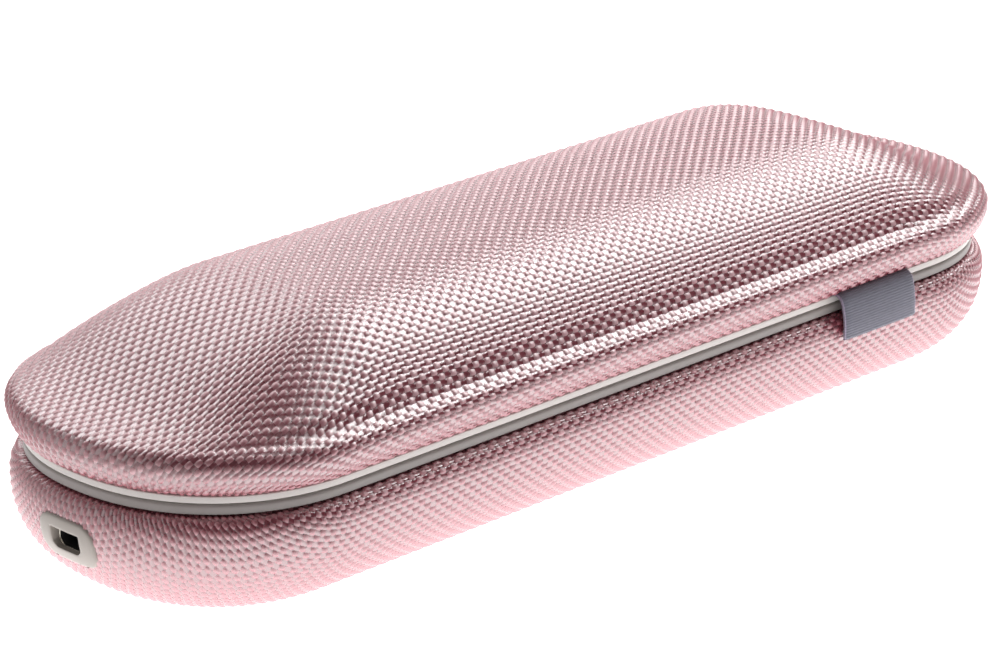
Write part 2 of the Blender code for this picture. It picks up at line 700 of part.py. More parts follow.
def make_coil(low, high, core_top):
    """Bobbin, winding and ferrite core, from the cap's face to the hub's."""
    place = (HUB_BACK_X, HANDLE_Y, HANDLE_Z)
    tube_inside = CORE_RADIUS + FIT_GAP
    tube_outside = tube_inside + BOBBIN_TUBE_WALL
    bobbin = turned(
        "coil_bobbin",
        [
            (tube_inside, high),
            (COIL_SPACE, high),
            (COIL_SPACE, high - BOBBIN_FLANGE),
            (tube_outside, high - BOBBIN_FLANGE),
            (tube_outside, low + BOBBIN_FLANGE),
            (COIL_SPACE, low + BOBBIN_FLANGE),
            (COIL_SPACE, low),
            (tube_inside, low),
        ],
        place,
    )
    seat(bobbin, "base", black_plastic)
    coil_low = low + BOBBIN_FLANGE + FIT_GAP
    coil_high = high - BOBBIN_FLANGE - FIT_GAP
    coil_inside = tube_outside + FIT_GAP
    coil_outside = COIL_SPACE - FIT_GAP
    coil = turned(
        "charging_coil",
        [
            (coil_inside, coil_high),
            (coil_outside, coil_high),
            (coil_outside, coil_low),
            (coil_inside, coil_low),
        ],
        place,
    )
    seat(coil, "base", copper)
    core = turned(
        "ferrite_core", [(0, core_top), (CORE_RADIUS, core_top), (CORE_RADIUS, low), (0, low)], place
    )
    seat(core, "base", ferrite)


# Leads from the coil to the board
LEAD_RADIUS = 0.4 * MM
LEAD_SPACING = 0.65 * MM
LEAD_START_X = HUB_BACK_X + CAP_THICKNESS / 2
LEAD_START_Z = HANDLE_Z - COIL_SPACE + CAP_NOTCH_DEPTH / 2
LEAD_OUT = 2.6 * MM
LEAD_BEND = 1.2 * MM
LEAD_POINTS = 8


def make_leads():
    """Two insulated leads that leave the cap's notch and turn down on to the board."""
    end_z = BOARD_TOP + FIT_GAP
    corner = Vector((LEAD_START_X - LEAD_OUT, 0, LEAD_START_Z))
    for index, side in enumerate((-1, 1), start=1):
        y = HANDLE_Y + side * LEAD_SPACING
        path = [Vector((LEAD_START_X, y, LEAD_START_Z))]
        for step in range(LEAD_POINTS):
            angle = math.pi / 2 * step / (LEAD_POINTS - 1)
            path.append(Vector((
                corner.x + LEAD_BEND * (1 - math.sin(angle)),
                y,
                corner.z - LEAD_BEND * (1 - math.cos(angle)),
            )))
        path.append(Vector((corner.x, y, end_z)))
        curve = bpy.data.curves.new(f"coil_lead_{index}", "CURVE")
        curve.dimensions = "3D"
        curve.bevel_depth = LEAD_RADIUS
        curve.bevel_resolution = 1
        curve.use_fill_caps = True
        spline = curve.splines.new("POLY")
        spline.points.add(len(path) - 1)
        for point, place in zip(spline.points, path):
            point.co = (*place, 1)
        seat(add(f"coil_lead_{index}", curve), "base", lead_red)


# Tray: the cradle for the handle and two recesses for spare brush heads
CRADLE_FLOOR_GAP = 3.3 * MM
CRADLE_RADIUS = HANDLE_Z - INSIDE_FLOOR - CRADLE_FLOOR_GAP - TRAY_WALL
CRADLE_NECK_RADIUS = 10.0 * MM
CRADLE_END_RADIUS = 6.5 * MM
CRADLE_END_SETBACK = 14.0 * MM
CRADLE_NECK_LENGTH = 14.0 * MM
CRADLE_SHOULDER_LENGTH = 20.0 * MM
CRADLE_START_X = HUB_BACK_X + HUB_LENGTH - FIT_GAP
CRADLE_END_X = SEAM_HALF_LENGTH - CRADLE_END_SETBACK
CRADLE_NECK_X = CRADLE_END_X - CRADLE_NECK_LENGTH
CRADLE_SHOULDER_X = CRADLE_NECK_X - CRADLE_SHOULDER_LENGTH
RECESS_GAP = 0.5 * MM
RECESS_BACK_INSET = 9.3 * MM
RECESS_SETBACK = 28.0 * MM
RECESS_INNER_X = 2.5 * MM
RECESS_FLOOR_GAP = 4.2 * MM
RECESS_CORNER = 3.0 * MM
RECESS_LOW_Y = HANDLE_Y + CRADLE_RADIUS + 2 * TRAY_WALL + RECESS_GAP
RECESS_HIGH_Y = SEAM_HALF_WIDTH - RECESS_BACK_INSET
RECESS_OUTER_X = SEAM_HALF_LENGTH - RECESS_SETBACK
RECESS_BOTTOM = INSIDE_FLOOR + RECESS_FLOOR_GAP + TRAY_WALL
DECK_INSET = BASE_RIM_WALL_INSET + RIM_WALL_THICKNESS + FIT_GAP


def cradle_form(name, growth):
    """The turned space for the handle, with its wall thickness added as growth."""
    start = CRADLE_START_X - growth
    profile = [
        (0, CRADLE_END_X + growth - start),
        (CRADLE_END_RADIUS + growth, CRADLE_END_X + growth - start),
        (CRADLE_NECK_RADIUS + growth, CRADLE_NECK_X - start),
        (CRADLE_RADIUS + growth, CRADLE_SHOULDER_X - start),
        (CRADLE_RADIUS + growth, 0),
        (0, 0),
    ]
    return cutter(turned(name, profile, (start, HANDLE_Y, HANDLE_Z), steps=28))


def recess_form(name, side, growth):
    low_x, high_x = sorted((side * RECESS_INNER_X, side * RECESS_OUTER_X))
    form = box(
        name,
        (low_x - growth, RECESS_LOW_Y - growth, RECESS_BOTTOM - growth),
        (high_x + growth, RECESS_HIGH_Y + growth, DECK_TOP + CUT_OVERRUN),
        RECESS_CORNER,
    )
    return cutter(form)


def make_tray():
    deck = [ring(-DECK_INSET, DECK_TOP - DECK_THICKNESS), ring(-DECK_INSET, DECK_TOP)]
    tray = loft("base_tray", deck, close_first=True, close_last=True)
    combine(tray, cradle_form("cradle_wall", TRAY_WALL), "UNION")
    for name, side in (("left_recess_wall", -1), ("right_recess_wall", 1)):
        combine(tray, recess_form(name, side, TRAY_WALL), "UNION")
    above = box(
        "above_deck",
        (-SEAM_HALF_LENGTH, -SEAM_HALF_WIDTH, DECK_TOP),
        (SEAM_HALF_LENGTH, SEAM_HALF_WIDTH, DECK_TOP + SEAM_HALF_WIDTH),
    )
    combine(tray, cutter(above), "DIFFERENCE")
    combine(tray, cradle_form("cradle_space", 0), "DIFFERENCE")
    for name, side in (("left_recess", -1), ("right_recess", 1)):
        combine(tray, recess_form(name, side, 0), "DIFFERENCE")
    hub_space = turned(
        "hub_space",
        [
            (0, HUB_LENGTH + FIT_GAP + TRAY_WALL),
            (HUB_RADIUS + FIT_GAP, HUB_LENGTH + FIT_GAP + TRAY_WALL),
            (HUB_RADIUS + FIT_GAP, 0),
            (0, 0),
        ],
        (HUB_BACK_X - FIT_GAP, HANDLE_Y, HANDLE_Z),
    )
    combine(tray, cutter(hub_space), "DIFFERENCE")
    for index, (x, y, _) in enumerate(tray_screw_places, start=1):
        hole = upright_cylinder(
            f"tray_hole_{index}", x, y, DECK_TOP - CUT_OVERRUN, DECK_TOP + CUT_OVERRUN, TRAY_HOLE_RADIUS
        )
        combine(tray, cutter(hole), "DIFFERENCE")
    seat(tray, "base", tray_plastic)

    for index, (x, y, head_low) in enumerate(tray_screw_places, start=1):
        make_screw(
            f"tray_screw_{index}", x, y, head_low,
            TRAY_SCREW_HEAD, TRAY_SCREW_HEAD_HEIGHT, TRAY_SCREW_SHANK, TRAY_SCREW_LENGTH,
        )


def make_base_shell():
    shell = base_skin("base_shell", shell_lip_shares, SHELL_DEPTH, SHELL_THICKNESS)
    deck_under = DECK_TOP - DECK_THICKNESS - FIT_GAP
    board_under = BOARD_TOP - BOARD_THICKNESS - FIT_GAP
    bosses = [
        (x, y, deck_under, BOSS_RADIUS, TRAY_HOLE_RADIUS, head_low - TRAY_SCREW_LENGTH)
        for x, y, head_low in tray_screw_places
    ]
    for side in (-1, 1):
        bosses.append((
            BOARD_SCREW_X, side * BOARD_SCREW_Y, board_under,
            BOARD_BOSS_RADIUS, BOARD_HOLE_RADIUS, BOARD_HEAD_LOW - BOARD_SCREW_LENGTH,
        ))
    bosses.append((BOARD_HIGH_X - BOARD_REST_INSET, 0, board_under, BOARD_BOSS_RADIUS, 0, 0))
    core = base_core("boss_space", SHELL_DEPTH + SHELL_THICKNESS / 2)
    for index, (x, y, top, radius, hole_radius, screw_tip) in enumerate(bosses, start=1):
        boss = cutter(upright_cylinder(f"boss_{index}", x, y, -BASE_DEPTH, top, radius))
        combine(boss, core, "INTERSECT")
        combine(shell, boss, "UNION")
        if hole_radius:
            hole = upright_cylinder(
                f"boss_hole_{index}", x, y, screw_tip - FIT_GAP, top + CUT_OVERRUN, hole_radius
            )
            combine(shell, cutter(hole), "DIFFERENCE")
    combine(shell, cutter(port_hole("shell_port", FIT_GAP)), "DIFFERENCE")
    seat(shell, "base", shell_plastic)


def make_base_fabric():
    fabric = base_skin("base_fabric", fabric_lip_shares, 0, FABRIC_THICKNESS)
    combine(fabric, cutter(port_hole("fabric_port", FIT_GAP)), "DIFFERENCE")
    seat(fabric, "base", pink_weave)


# Hinges: knuckles on both rims round a steel pin
HINGE_SETBACK = 62.0 * MM
HINGE_X = SEAM_HALF_LENGTH - HINGE_SETBACK
LID_KNUCKLE_HALF = 6.0 * MM
BASE_KNUCKLE_LENGTH = 5.5 * MM
KNUCKLE_ROOT = 0.6 * MM
ARM_TOP_GAP = 0.6 * MM
KNUCKLE_STEPS = 16


def rim_ring(name, section):
    """A ring of one section, whose (offset, height) points run up its outer side first."""
    return loft(name, [ring(out, height) for out, height in section], close_round=True)


def knuckle(name, centre_x, half, arm_low, arm_high):
    """A barrel on the hinge line with the short arm that carries it on its rim."""
    barrel = turned(
        name + "_barrel",
        [(0, 2 * half), (KNUCKLE_RADIUS, 2 * half), (KNUCKLE_RADIUS, 0), (0, 0)],
        (centre_x - half, HINGE_Y, -HINGE_DROP),
        steps=KNUCKLE_STEPS,
    )
    arm = box(
        name + "_arm",
        (centre_x - half, SEAM_HALF_WIDTH - KNUCKLE_ROOT, arm_low),
        (centre_x + half, HINGE_Y, arm_high),
    )
    return cutter(barrel), cutter(arm)


def pin_hole(name, centre_x):
    length = 2 * (LID_KNUCKLE_HALF + BASE_KNUCKLE_LENGTH + CUT_OVERRUN)
    return cutter(turned(
        name,
        [(0, length), (PIN_RADIUS + FIT_GAP, length), (PIN_RADIUS + FIT_GAP, 0), (0, 0)],
        (centre_x - length / 2, HINGE_Y, -HINGE_DROP),
        steps=12,
    ))


def make_rims():
    flange_out = -RIM_FLANGE_WIDTH
    low, high = SEAM_HALF_GAP, SEAM_HALF_GAP + RIM_FLANGE_THICKNESS
    lid_face = SEAM_HALF_GAP + LID_RIM_FACE
    wall_out = -LID_RIM_WALL_INSET
    wall_in = wall_out - RIM_WALL_THICKNESS
    lid_rim = rim_ring("lid_rim", [
        (0, low), (0, lid_face), (wall_out, lid_face), (wall_out, low + LID_RIM_WALL_HEIGHT),
        (wall_in, low + LID_RIM_WALL_HEIGHT), (wall_in, high), (flange_out, high), (flange_out, low),
    ])
    base_face = SEAM_HALF_GAP + BASE_RIM_FACE
    wall_out = -BASE_RIM_WALL_INSET
    wall_in = wall_out - RIM_WALL_THICKNESS
    base_rim = rim_ring("base_rim", [
        (0, -low), (flange_out, -low), (flange_out, -high), (wall_in, -high),
        (wall_in, -low - BASE_RIM_WALL_HEIGHT), (wall_out, -low - BASE_RIM_WALL_HEIGHT),
        (wall_out, -base_face), (0, -base_face),
    ])
    for index, centre_x in enumerate((-HINGE_X, HINGE_X), start=1):
        for part in knuckle(f"lid_knuckle_{index}", centre_x, LID_KNUCKLE_HALF, low, lid_face):
            combine(lid_rim, part, "UNION")
        for side in (-1, 1):
            middle = LID_KNUCKLE_HALF + FIT_GAP + BASE_KNUCKLE_LENGTH / 2
            parts = knuckle(
                f"base_knuckle_{index}_{'left' if side < 0 else 'right'}",
                centre_x + side * middle, BASE_KNUCKLE_LENGTH / 2, -base_face, -low - ARM_TOP_GAP,
            )
            for part in parts:
                combine(base_rim, part, "UNION")
        combine(lid_rim, pin_hole(f"lid_pin_hole_{index}", centre_x), "DIFFERENCE")
        combine(base_rim, pin_hole(f"base_pin_hole_{index}", centre_x), "DIFFERENCE")
        half = LID_KNUCKLE_HALF + FIT_GAP + BASE_KNUCKLE_LENGTH
        pin = turned(
            f"hinge_pin_{index}",
            [(0, 2 * half), (PIN_RADIUS, 2 * half), (PIN_RADIUS, 0), (0, 0)],
            (centre_x - half, HINGE_Y, -HINGE_DROP),
            steps=12,
        )
        seat(pin, "base", steel)
    seat(lid_rim, "lid", rim_plastic)
    seat(base_rim, "base", rim_plastic)


# Closing magnets, bonded to both rims' flanges at the front
MAGNET_SETBACK = 78.0 * MM
MAGNET_X = SEAM_HALF_LENGTH - MAGNET_SETBACK
MAGNET_HALF_LENGTH = 5.0 * MM
MAGNET_WIDTH = 3.0 * MM
MAGNET_THICKNESS = 2.0 * MM
MAGNET_BEVEL = 0.2 * MM
MAGNET_INSET = max(LID_RIM_WALL_INSET, BASE_RIM_WALL_INSET) + RIM_WALL_THICKNESS + FIT_GAP


def make_magnets():
    front_y = -(SEAM_HALF_WIDTH - MAGNET_INSET)
    near = SEAM_HALF_GAP + RIM_FLANGE_THICKNESS + FIT_GAP
    for index, x in enumerate((-MAGNET_X, MAGNET_X), start=1):
        for half, low in (("base", -near - MAGNET_THICKNESS), ("lid", near)):
            magnet = box(
                f"{half}_magnet_{index}",
                (x - MAGNET_HALF_LENGTH, front_y, low),
                (x + MAGNET_HALF_LENGTH, front_y + MAGNET_WIDTH, low + MAGNET_THICKNESS),
                MAGNET_BEVEL,
            )
            seat(magnet, half, nickel)


# Lid liner: the formed pan that faces the brush
LINER_THICKNESS = 1.0 * MM
LINER_INSET = RIM_FLANGE_WIDTH + FIT_GAP
LINER_DEPTH = INSIDE_DEPTH + 2 * FIT_GAP
LINER_EDGE_RADIUS = 2.0 * MM
liner_top_shares = (0.9, 0.72, 0.45)


def make_liner():
    """The liner's wall stands inside the rim's flange and its roof follows the lid's rise."""
    low = SEAM_HALF_GAP

    def roof(x, y):
        return lid_top(x, y, LINER_DEPTH)

    def wall(share, drop):
        return lambda x, y: low + (roof(x, y) - drop - low) * share

    slant = LINER_EDGE_RADIUS * (1 - math.sqrt(0.5))
    rings = [
        ring(-LINER_INSET, low),
        ring(-LINER_INSET, wall(0.5, LINER_EDGE_RADIUS)),
        ring(-LINER_INSET, wall(1.0, LINER_EDGE_RADIUS)),
        ring(-LINER_INSET - slant, wall(1.0, slant)),
        ring(-LINER_INSET - LINER_EDGE_RADIUS, roof),
    ]
    for share in liner_top_shares:
        rings.append(ring(-LINER_INSET - LINER_EDGE_RADIUS, roof, share))
    liner = loft("lid_liner", rings, close_last=True)
    thicken(liner, LINER_THICKNESS)
    seat(liner, "lid", tray_plastic)


# Pull tab: a folded ribbon held under the lid fabric's edge, hanging over the seam
TAB_SETBACK = 50.5 * MM
TAB_CENTRE_X = SEAM_HALF_LENGTH - TAB_SETBACK
TAB_HALF_WIDTH = 10.2 * MM
TAB_THICKNESS = 0.8 * MM
TAB_ROOT_IN = 0.6 * MM
TAB_SHOULDER_OUT = 0.9 * MM
TAB_KNEE_OUT = 2.1 * MM
TAB_FALL_OUT = 2.7 * MM
TAB_KNEE_Z = 1.0 * MM
TAB_FALL_Z = -0.7 * MM
TAB_END_Z = -6.4 * MM
TAB_TOP_Z = LID_FABRIC_FOOT + TAB_THICKNESS / 2
TAB_LOW_OUT = HINGE_OUT + KNUCKLE_RADIUS - TAB_THICKNESS / 2


def make_tab():
    path = [
        (-TAB_ROOT_IN, TAB_TOP_Z),
        (TAB_SHOULDER_OUT, TAB_TOP_Z),
        (TAB_KNEE_OUT, TAB_KNEE_Z),
        (TAB_FALL_OUT, TAB_FALL_Z),
        (TAB_LOW_OUT, (TAB_FALL_Z + TAB_END_Z) / 2),
        (TAB_LOW_OUT, TAB_END_Z),
    ]
    outer = []
    inner = []
    for index, (out, height) in enumerate(path):
        before = path[max(index - 1, 0)]
        after = path[min(index + 1, len(path) - 1)]
        along = Vector((after[0] - before[0], after[1] - before[1])).normalized()
        half = TAB_THICKNESS / 2
        outer.append((-(SEAM_HALF_WIDTH + out - along.y * half), height + along.x * half))
        inner.append((-(SEAM_HALF_WIDTH + out + along.y * half), height - along.x * half))
    tab = prism(
        "pull_tab", outer + inner[::-1], TAB_CENTRE_X - TAB_HALF_WIDTH, TAB_CENTRE_X + TAB_HALF_WIDTH
    )
    seat(tab, "lid", tab_fabric)


def make_lid_skins():
    fabric = lid_skin("lid_fabric", 0, fabric_band_shares, FABRIC_THICKNESS)
    root = SEAM_HALF_WIDTH + LID_FOOT_OUT - FABRIC_THICKNESS
    notch_top = LID_FABRIC_FOOT + TAB_THICKNESS + FIT_GAP
    notch = box(
        "tab_notch",
        (TAB_CENTRE_X - TAB_HALF_WIDTH - FIT_GAP, -root - CUT_OVERRUN, 0),
        (TAB_CENTRE_X + TAB_HALF_WIDTH + FIT_GAP, -root + FIT_GAP / 2, notch_top),
    )
    combine(fabric, cutter(notch), "DIFFERENCE")
    seat(fabric, "lid", pink_weave)
    shell = lid_skin("lid_shell", SHELL_DEPTH, shell_band_shares, SHELL_THICKNESS)
    seat(shell, "lid", shell_plastic)


make_base_fabric()
make_base_shell()
make_rims()
make_tray()
make_hub()
make_board()
make_leads()
make_port()
make_magnets()
make_lid_skins()
make_liner()
make_tab()
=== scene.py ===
"""Looks of the toothbrush travel case: woven cover, moulded rims, charging socket, tag and interior.

The sections follow the case as it is put together, from the base's cover to the tag. The base comes
first with the cloth and the moulded rings that both halves use. Sizes are in millimetres, measured
from the seam where lid and base meet, until a piece's mesh is made.
"""

import math

import bmesh
import bpy
import numpy as np
from mathutils import Matrix, Vector


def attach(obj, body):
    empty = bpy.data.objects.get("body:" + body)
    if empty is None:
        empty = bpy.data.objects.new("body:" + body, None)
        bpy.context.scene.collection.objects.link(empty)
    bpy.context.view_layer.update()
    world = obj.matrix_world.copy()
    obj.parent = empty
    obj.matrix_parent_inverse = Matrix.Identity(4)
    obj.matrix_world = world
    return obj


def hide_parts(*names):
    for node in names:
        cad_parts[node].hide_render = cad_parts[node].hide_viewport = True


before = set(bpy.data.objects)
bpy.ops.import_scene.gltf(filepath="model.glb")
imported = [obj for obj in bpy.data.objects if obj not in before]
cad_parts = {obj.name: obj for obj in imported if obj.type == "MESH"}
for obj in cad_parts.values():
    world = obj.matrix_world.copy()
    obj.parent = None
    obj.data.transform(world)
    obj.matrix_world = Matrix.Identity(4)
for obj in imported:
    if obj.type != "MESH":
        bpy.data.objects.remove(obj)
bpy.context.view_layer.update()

# Base cover
# Thick glossy nylon cloth, laminated and moulded over the base's shell. It runs flat under the case,
# sweeps up the sides and rolls over a lip into the groove, where the rim clamps its edge.
MM = 0.001
SEAM_HEIGHT = 24.6
SEAM_HALF_LENGTH = 108.0
SEAM_HALF_WIDTH = 32.3
END_EXPONENT = 2.16
BASE_WIDEST = (2.4, -6.0)
BASE_SWEEP = (26.0, 18.6)
BASE_SWEEP_EXPONENT = 2.3
BASE_CLOTH_TOP = -2.15
THREAD_PITCH = (1.36, 1.06)
THREAD_SAMPLES = (-0.5, -0.37, 0.0, 0.37)
LONG_THREAD = {"crimp": 0.13, "rise": 0.27, "width": 1.06, "squareness": 2.6}
CROSS_THREAD = {"crimp": 0.03, "rise": 0.17, "width": 1.02, "squareness": 4.0}
GAP_FLOOR = -0.1
CROWN_OUT = 0.05
HEM_FADE = 0.6
FLAT_SAMPLES = 500


def round_end(out_x, out_y):
    """What a direction's reach to the seam is divided by, because the ends aren't true half circles."""
    return (np.abs(out_x) ** END_EXPONENT + np.abs(out_y) ** END_EXPONENT) ** (1 / END_EXPONENT)


def from_seam(x, y):
    """For plan points: the nearest point of the middle line, the way out and the distance past the seam."""
    middle = np.clip(x, SEAM_HALF_WIDTH - SEAM_HALF_LENGTH, SEAM_HALF_LENGTH - SEAM_HALF_WIDTH)
    reach = np.maximum(np.hypot(x - middle, y), 1e-6)
    out_x = (x - middle) / reach
    out_y = np.where(reach > 1e-6, y / reach, 1.0)
    seam = SEAM_HALF_WIDTH / round_end(out_x, out_y)
    return middle, out_x, out_y, reach - seam, seam


def quarter(start, width, drop, exponent, steps=60):
    """(offset, height) points of a rounded quarter that leaves its widest point straight down."""
    turn = np.linspace(0, math.pi / 2, steps)
    return np.stack([
        start[0] - width * (1 - np.cos(turn) ** (2 / exponent)),
        start[1] - drop * np.sin(turn) ** (2 / exponent),
    ], axis=1)


def even_points(points, spacing=0.1):
    """The same line with points evenly spaced along it, and the distance of each from the start."""
    steps = np.hypot(*np.diff(points, axis=0).T)
    along = np.concatenate([[0], np.cumsum(steps)])
    even = np.linspace(0, along[-1], int(along[-1] / spacing) + 2)
    return even, np.interp(even, along, points[:, 0]), np.interp(even, along, points[:, 1])


def thread_height(along, across, over, crimp, rise, width, squareness):
    """Height of one thread, which arches over its crossings and falls away to its sides."""
    edge = np.abs(2 * across) / width
    return crimp * over * np.cos(math.pi * along) + rise * (1 - edge ** squareness)


def thread_relief(u, v):
    """How far the plain weave lies under its crowns, at points counted in threads along X and across."""
    column, row = np.round(u), np.round(v)
    over = np.where((column + row) % 2 == 0, 1, -1)
    top = np.maximum(thread_height(u - column, v - row, over, **LONG_THREAD),
                     thread_height(v - row, u - column, -over, **CROSS_THREAD))
    return LONG_THREAD["crimp"] + LONG_THREAD["rise"] - np.maximum(top, GAP_FLOOR)


def thread_lines(reach, pitch):
    """Places of the mesh lines either side of the middle: closer together where a thread turns over."""
    threads = np.arange(-int(reach / pitch) - 2, int(reach / pitch) + 3)
    return (threads[:, None] + np.array(THREAD_SAMPLES)).ravel() * pitch


def mesh_from(name, points, faces, uv=None, marks=None):
    """A smooth mesh piece from points in the seam's millimetres and an array of four-cornered faces."""
    mesh = bpy.data.meshes.new(name)
    mesh.vertices.add(len(points))
    placed = (np.asarray(points, float) + (0, 0, SEAM_HEIGHT)) * MM
    mesh.vertices.foreach_set("co", placed.astype(np.float32).ravel())
    faces = np.asarray(faces, np.int32)
    mesh.loops.add(faces.size)
    mesh.loops.foreach_set("vertex_index", faces.ravel())
    mesh.polygons.add(len(faces))
    mesh.polygons.foreach_set("loop_start", np.arange(0, faces.size, 4, dtype=np.int32))
    for layer, values in (uv or {}).items():
        mesh.uv_layers.new(name=layer, do_init=False)
        mesh.uv_layers[layer].uv.foreach_set("vector", values[faces.ravel()].astype(np.float32).ravel())
    for layer, values in (marks or {}).items():
        mesh.attributes.new(layer, "FLOAT", "POINT")
        mesh.attributes[layer].data.foreach_set("value", values.astype(np.float32))
    mesh.update(calc_edges=True)
    mesh.validate()
    mesh.shade_smooth()
    piece = bpy.data.objects.new(name, mesh)
    bpy.context.scene.collection.objects.link(piece)
    return piece


def lay_cloth(name, profile, face_up, top_height=None, trim=None):
    """The woven cover of one half. Its threads run along X and Y on the flat and on down the sides.

    The profile runs from the flat's edge to the cloth's hidden hem. top_height gives the height over
    the flat, and trim moves points out of a cut-out and says which lie in it. Gives back the piece and
    its cut pattern's sides and area in metres.
    """
    along, offsets, heights = profile
    flat_edge, flat_level = offsets[0], heights[0]
    extra, climb = cloth_climb(top_height, flat_edge) if top_height else (None, 0)
    pattern_u = thread_lines(SEAM_HALF_LENGTH + flat_edge + along[-1], THREAD_PITCH[0])
    pattern_v = thread_lines(SEAM_HALF_WIDTH + flat_edge + along[-1] + climb, THREAD_PITCH[1])
    u, v = np.meshgrid(pattern_u, pattern_v)
    y = v.copy()
    if extra is not None:
        samples = np.linspace(0, pattern_v[-1] + 4, FLAT_SAMPLES)
        for column, x in enumerate(pattern_u):
            reached = samples + extra(np.full_like(samples, x), samples)
            y[:, column] = np.sign(v[:, column]) * np.interp(np.abs(v[:, column]), reached, samples)

    middle, out_x, out_y, offset, seam = from_seam(u, y)
    past = offset - flat_edge
    outside = past > along[-1]
    past = np.minimum(past, along[-1])
    plan = np.where(past > 0, np.interp(past, along, offsets), past + flat_edge)
    x = middle + (seam + plan) * out_x
    y = (seam + plan) * out_y
    level = top_height(x, y) if top_height else flat_level
    z = np.where(past > 0, np.interp(past, along, heights), level)
    points = np.stack([x, y, z], axis=-1)
    inside_cut = np.zeros(outside.shape, bool)
    if trim:
        points, inside_cut = trim(points)

    across_u = np.gradient(points, axis=1)
    across_v = np.gradient(points, axis=0)
    normals = np.cross(across_u, across_v) * (1 if face_up else -1)
    normals /= np.maximum(np.linalg.norm(normals, axis=-1, keepdims=True), 1e-9)
    hem = np.clip((along[-1] - past) / HEM_FADE, 0, 1)
    under = thread_relief(u / THREAD_PITCH[0], v / THREAD_PITCH[1])
    points = points + normals * ((CROWN_OUT - under) * hem)[..., None]

    rows, columns = u.shape
    index = np.arange(rows * columns).reshape(rows, columns)
    corners = (index[:-1, :-1], index[:-1, 1:], index[1:, 1:], index[1:, :-1])
    faces = np.stack(corners if face_up else corners[::-1], axis=-1).reshape(-1, 4)
    gone = (outside | inside_cut).ravel()
    faces = faces[~gone[faces].all(axis=1)]
    used, faces = np.unique(faces, return_inverse=True)
    faces = faces.reshape(-1, 4)
    threads = np.stack([u / THREAD_PITCH[0], v / THREAD_PITCH[1]], axis=-1).reshape(-1, 2)[used]
    width = 2 * pattern_u[-1]
    flat = np.stack([u / width + 0.5, v / width + 0.5], axis=-1).reshape(-1, 2)[used]
    cover = mesh_from(name, points.reshape(-1, 3)[used], faces, {"threads": threads, "OFBake": flat},
                      marks={"under": under.ravel()[used]})
    cut = np.stack([u, v], axis=-1).reshape(-1, 2)[used] * MM
    first = cut[faces[:, 2]] - cut[faces[:, 0]]
    second = cut[faces[:, 3]] - cut[faces[:, 1]]
    cut_area = np.abs(first[:, 0] * second[:, 1] - first[:, 1] * second[:, 0]).sum() / 2
    return cover, np.ptp(cut, axis=0), cut_area


PORT_LEVEL = -10.404
PORT_OPENING = (6.75, 4.15, 3.25)
PORT_PULL = 1.2
PORT_CENTRE_REACH = 0.3


def outside_port(points):
    """Moves cloth points that lie just inside the socket's cut-out to its edge, and says which lie in it."""
    half_width, half_height, corner = PORT_OPENING
    y, z = points[..., 1], points[..., 2] - PORT_LEVEL
    near_end = points[..., 0] < -SEAM_HALF_LENGTH / 2
    from_y = np.abs(y) - (half_width - corner)
    from_z = np.abs(z) - (half_height - corner)
    round_y, round_z = np.maximum(from_y, 0), np.maximum(from_z, 0)
    reach = np.hypot(round_y, round_z)
    distance = reach + np.minimum(np.maximum(from_y, from_z), 0) - corner
    inside = near_end & (distance < 0)
    away_y = np.where(reach > PORT_CENTRE_REACH, round_y / np.maximum(reach, 1e-6), (from_y > from_z) * 1.0)
    away_z = np.where(reach > PORT_CENTRE_REACH, round_z / np.maximum(reach, 1e-6), (from_y <= from_z) * 1.0)
    move = np.where(inside & (distance > -PORT_PULL), -distance, 0)
    points = points.copy()
    points[..., 1] += np.sign(y) * away_y * move
    points[..., 2] += np.sign(z) * away_z * move
    return points, inside


sweep = quarter(BASE_WIDEST, *BASE_SWEEP, BASE_SWEEP_EXPONENT)[::-1]
lip = quarter(BASE_WIDEST, BASE_WIDEST[0], BASE_WIDEST[1] - BASE_CLOTH_TOP, 2)
base_hem = np.array([(-0.6, BASE_CLOTH_TOP + 0.02), (-1.2, BASE_CLOTH_TOP + 0.02)])
base_profile = even_points(np.concatenate([sweep, lip[1:], base_hem]))
base_cover, base_cut, base_cut_area = lay_cloth("base_cover", base_profile, face_up=False, trim=outside_port)


def srgb(code):
    """A linear colour from an sRGB hex value."""
    parts = [int(code[i:i + 2], 16) / 255 for i in (0, 2, 4)]
    return tuple(p / 12.92 if p <= 0.04045 else ((p + 0.055) / 1.055) ** 2.4 for p in parts) + (1.0,)


def add_node(tree, kind, inputs=None, **settings):
    """Adds a shader node with its settings. An input takes a value, a node or a node's socket."""
    made = tree.nodes.new("ShaderNode" + kind)
    for name, value in settings.items():
        setattr(made, name, value)
    for name, value in (inputs or {}).items():
        if isinstance(value, bpy.types.Node):
            value = value.outputs[0]
        if isinstance(value, bpy.types.NodeSocket):
            tree.links.new(value, made.inputs[name])
        else:
            made.inputs[name].default_value = value
    return made


def start_material(name, **values):
    """A material with its principled shader's plain values set. Gives back the material, tree and shader."""
    material = bpy.data.materials.new(name)
    material.use_nodes = True
    shader = material.node_tree.nodes["Principled BSDF"]
    for key, value in values.items():
        shader.inputs[key.replace("_", " ").title()].default_value = value
    return material, material.node_tree, shader


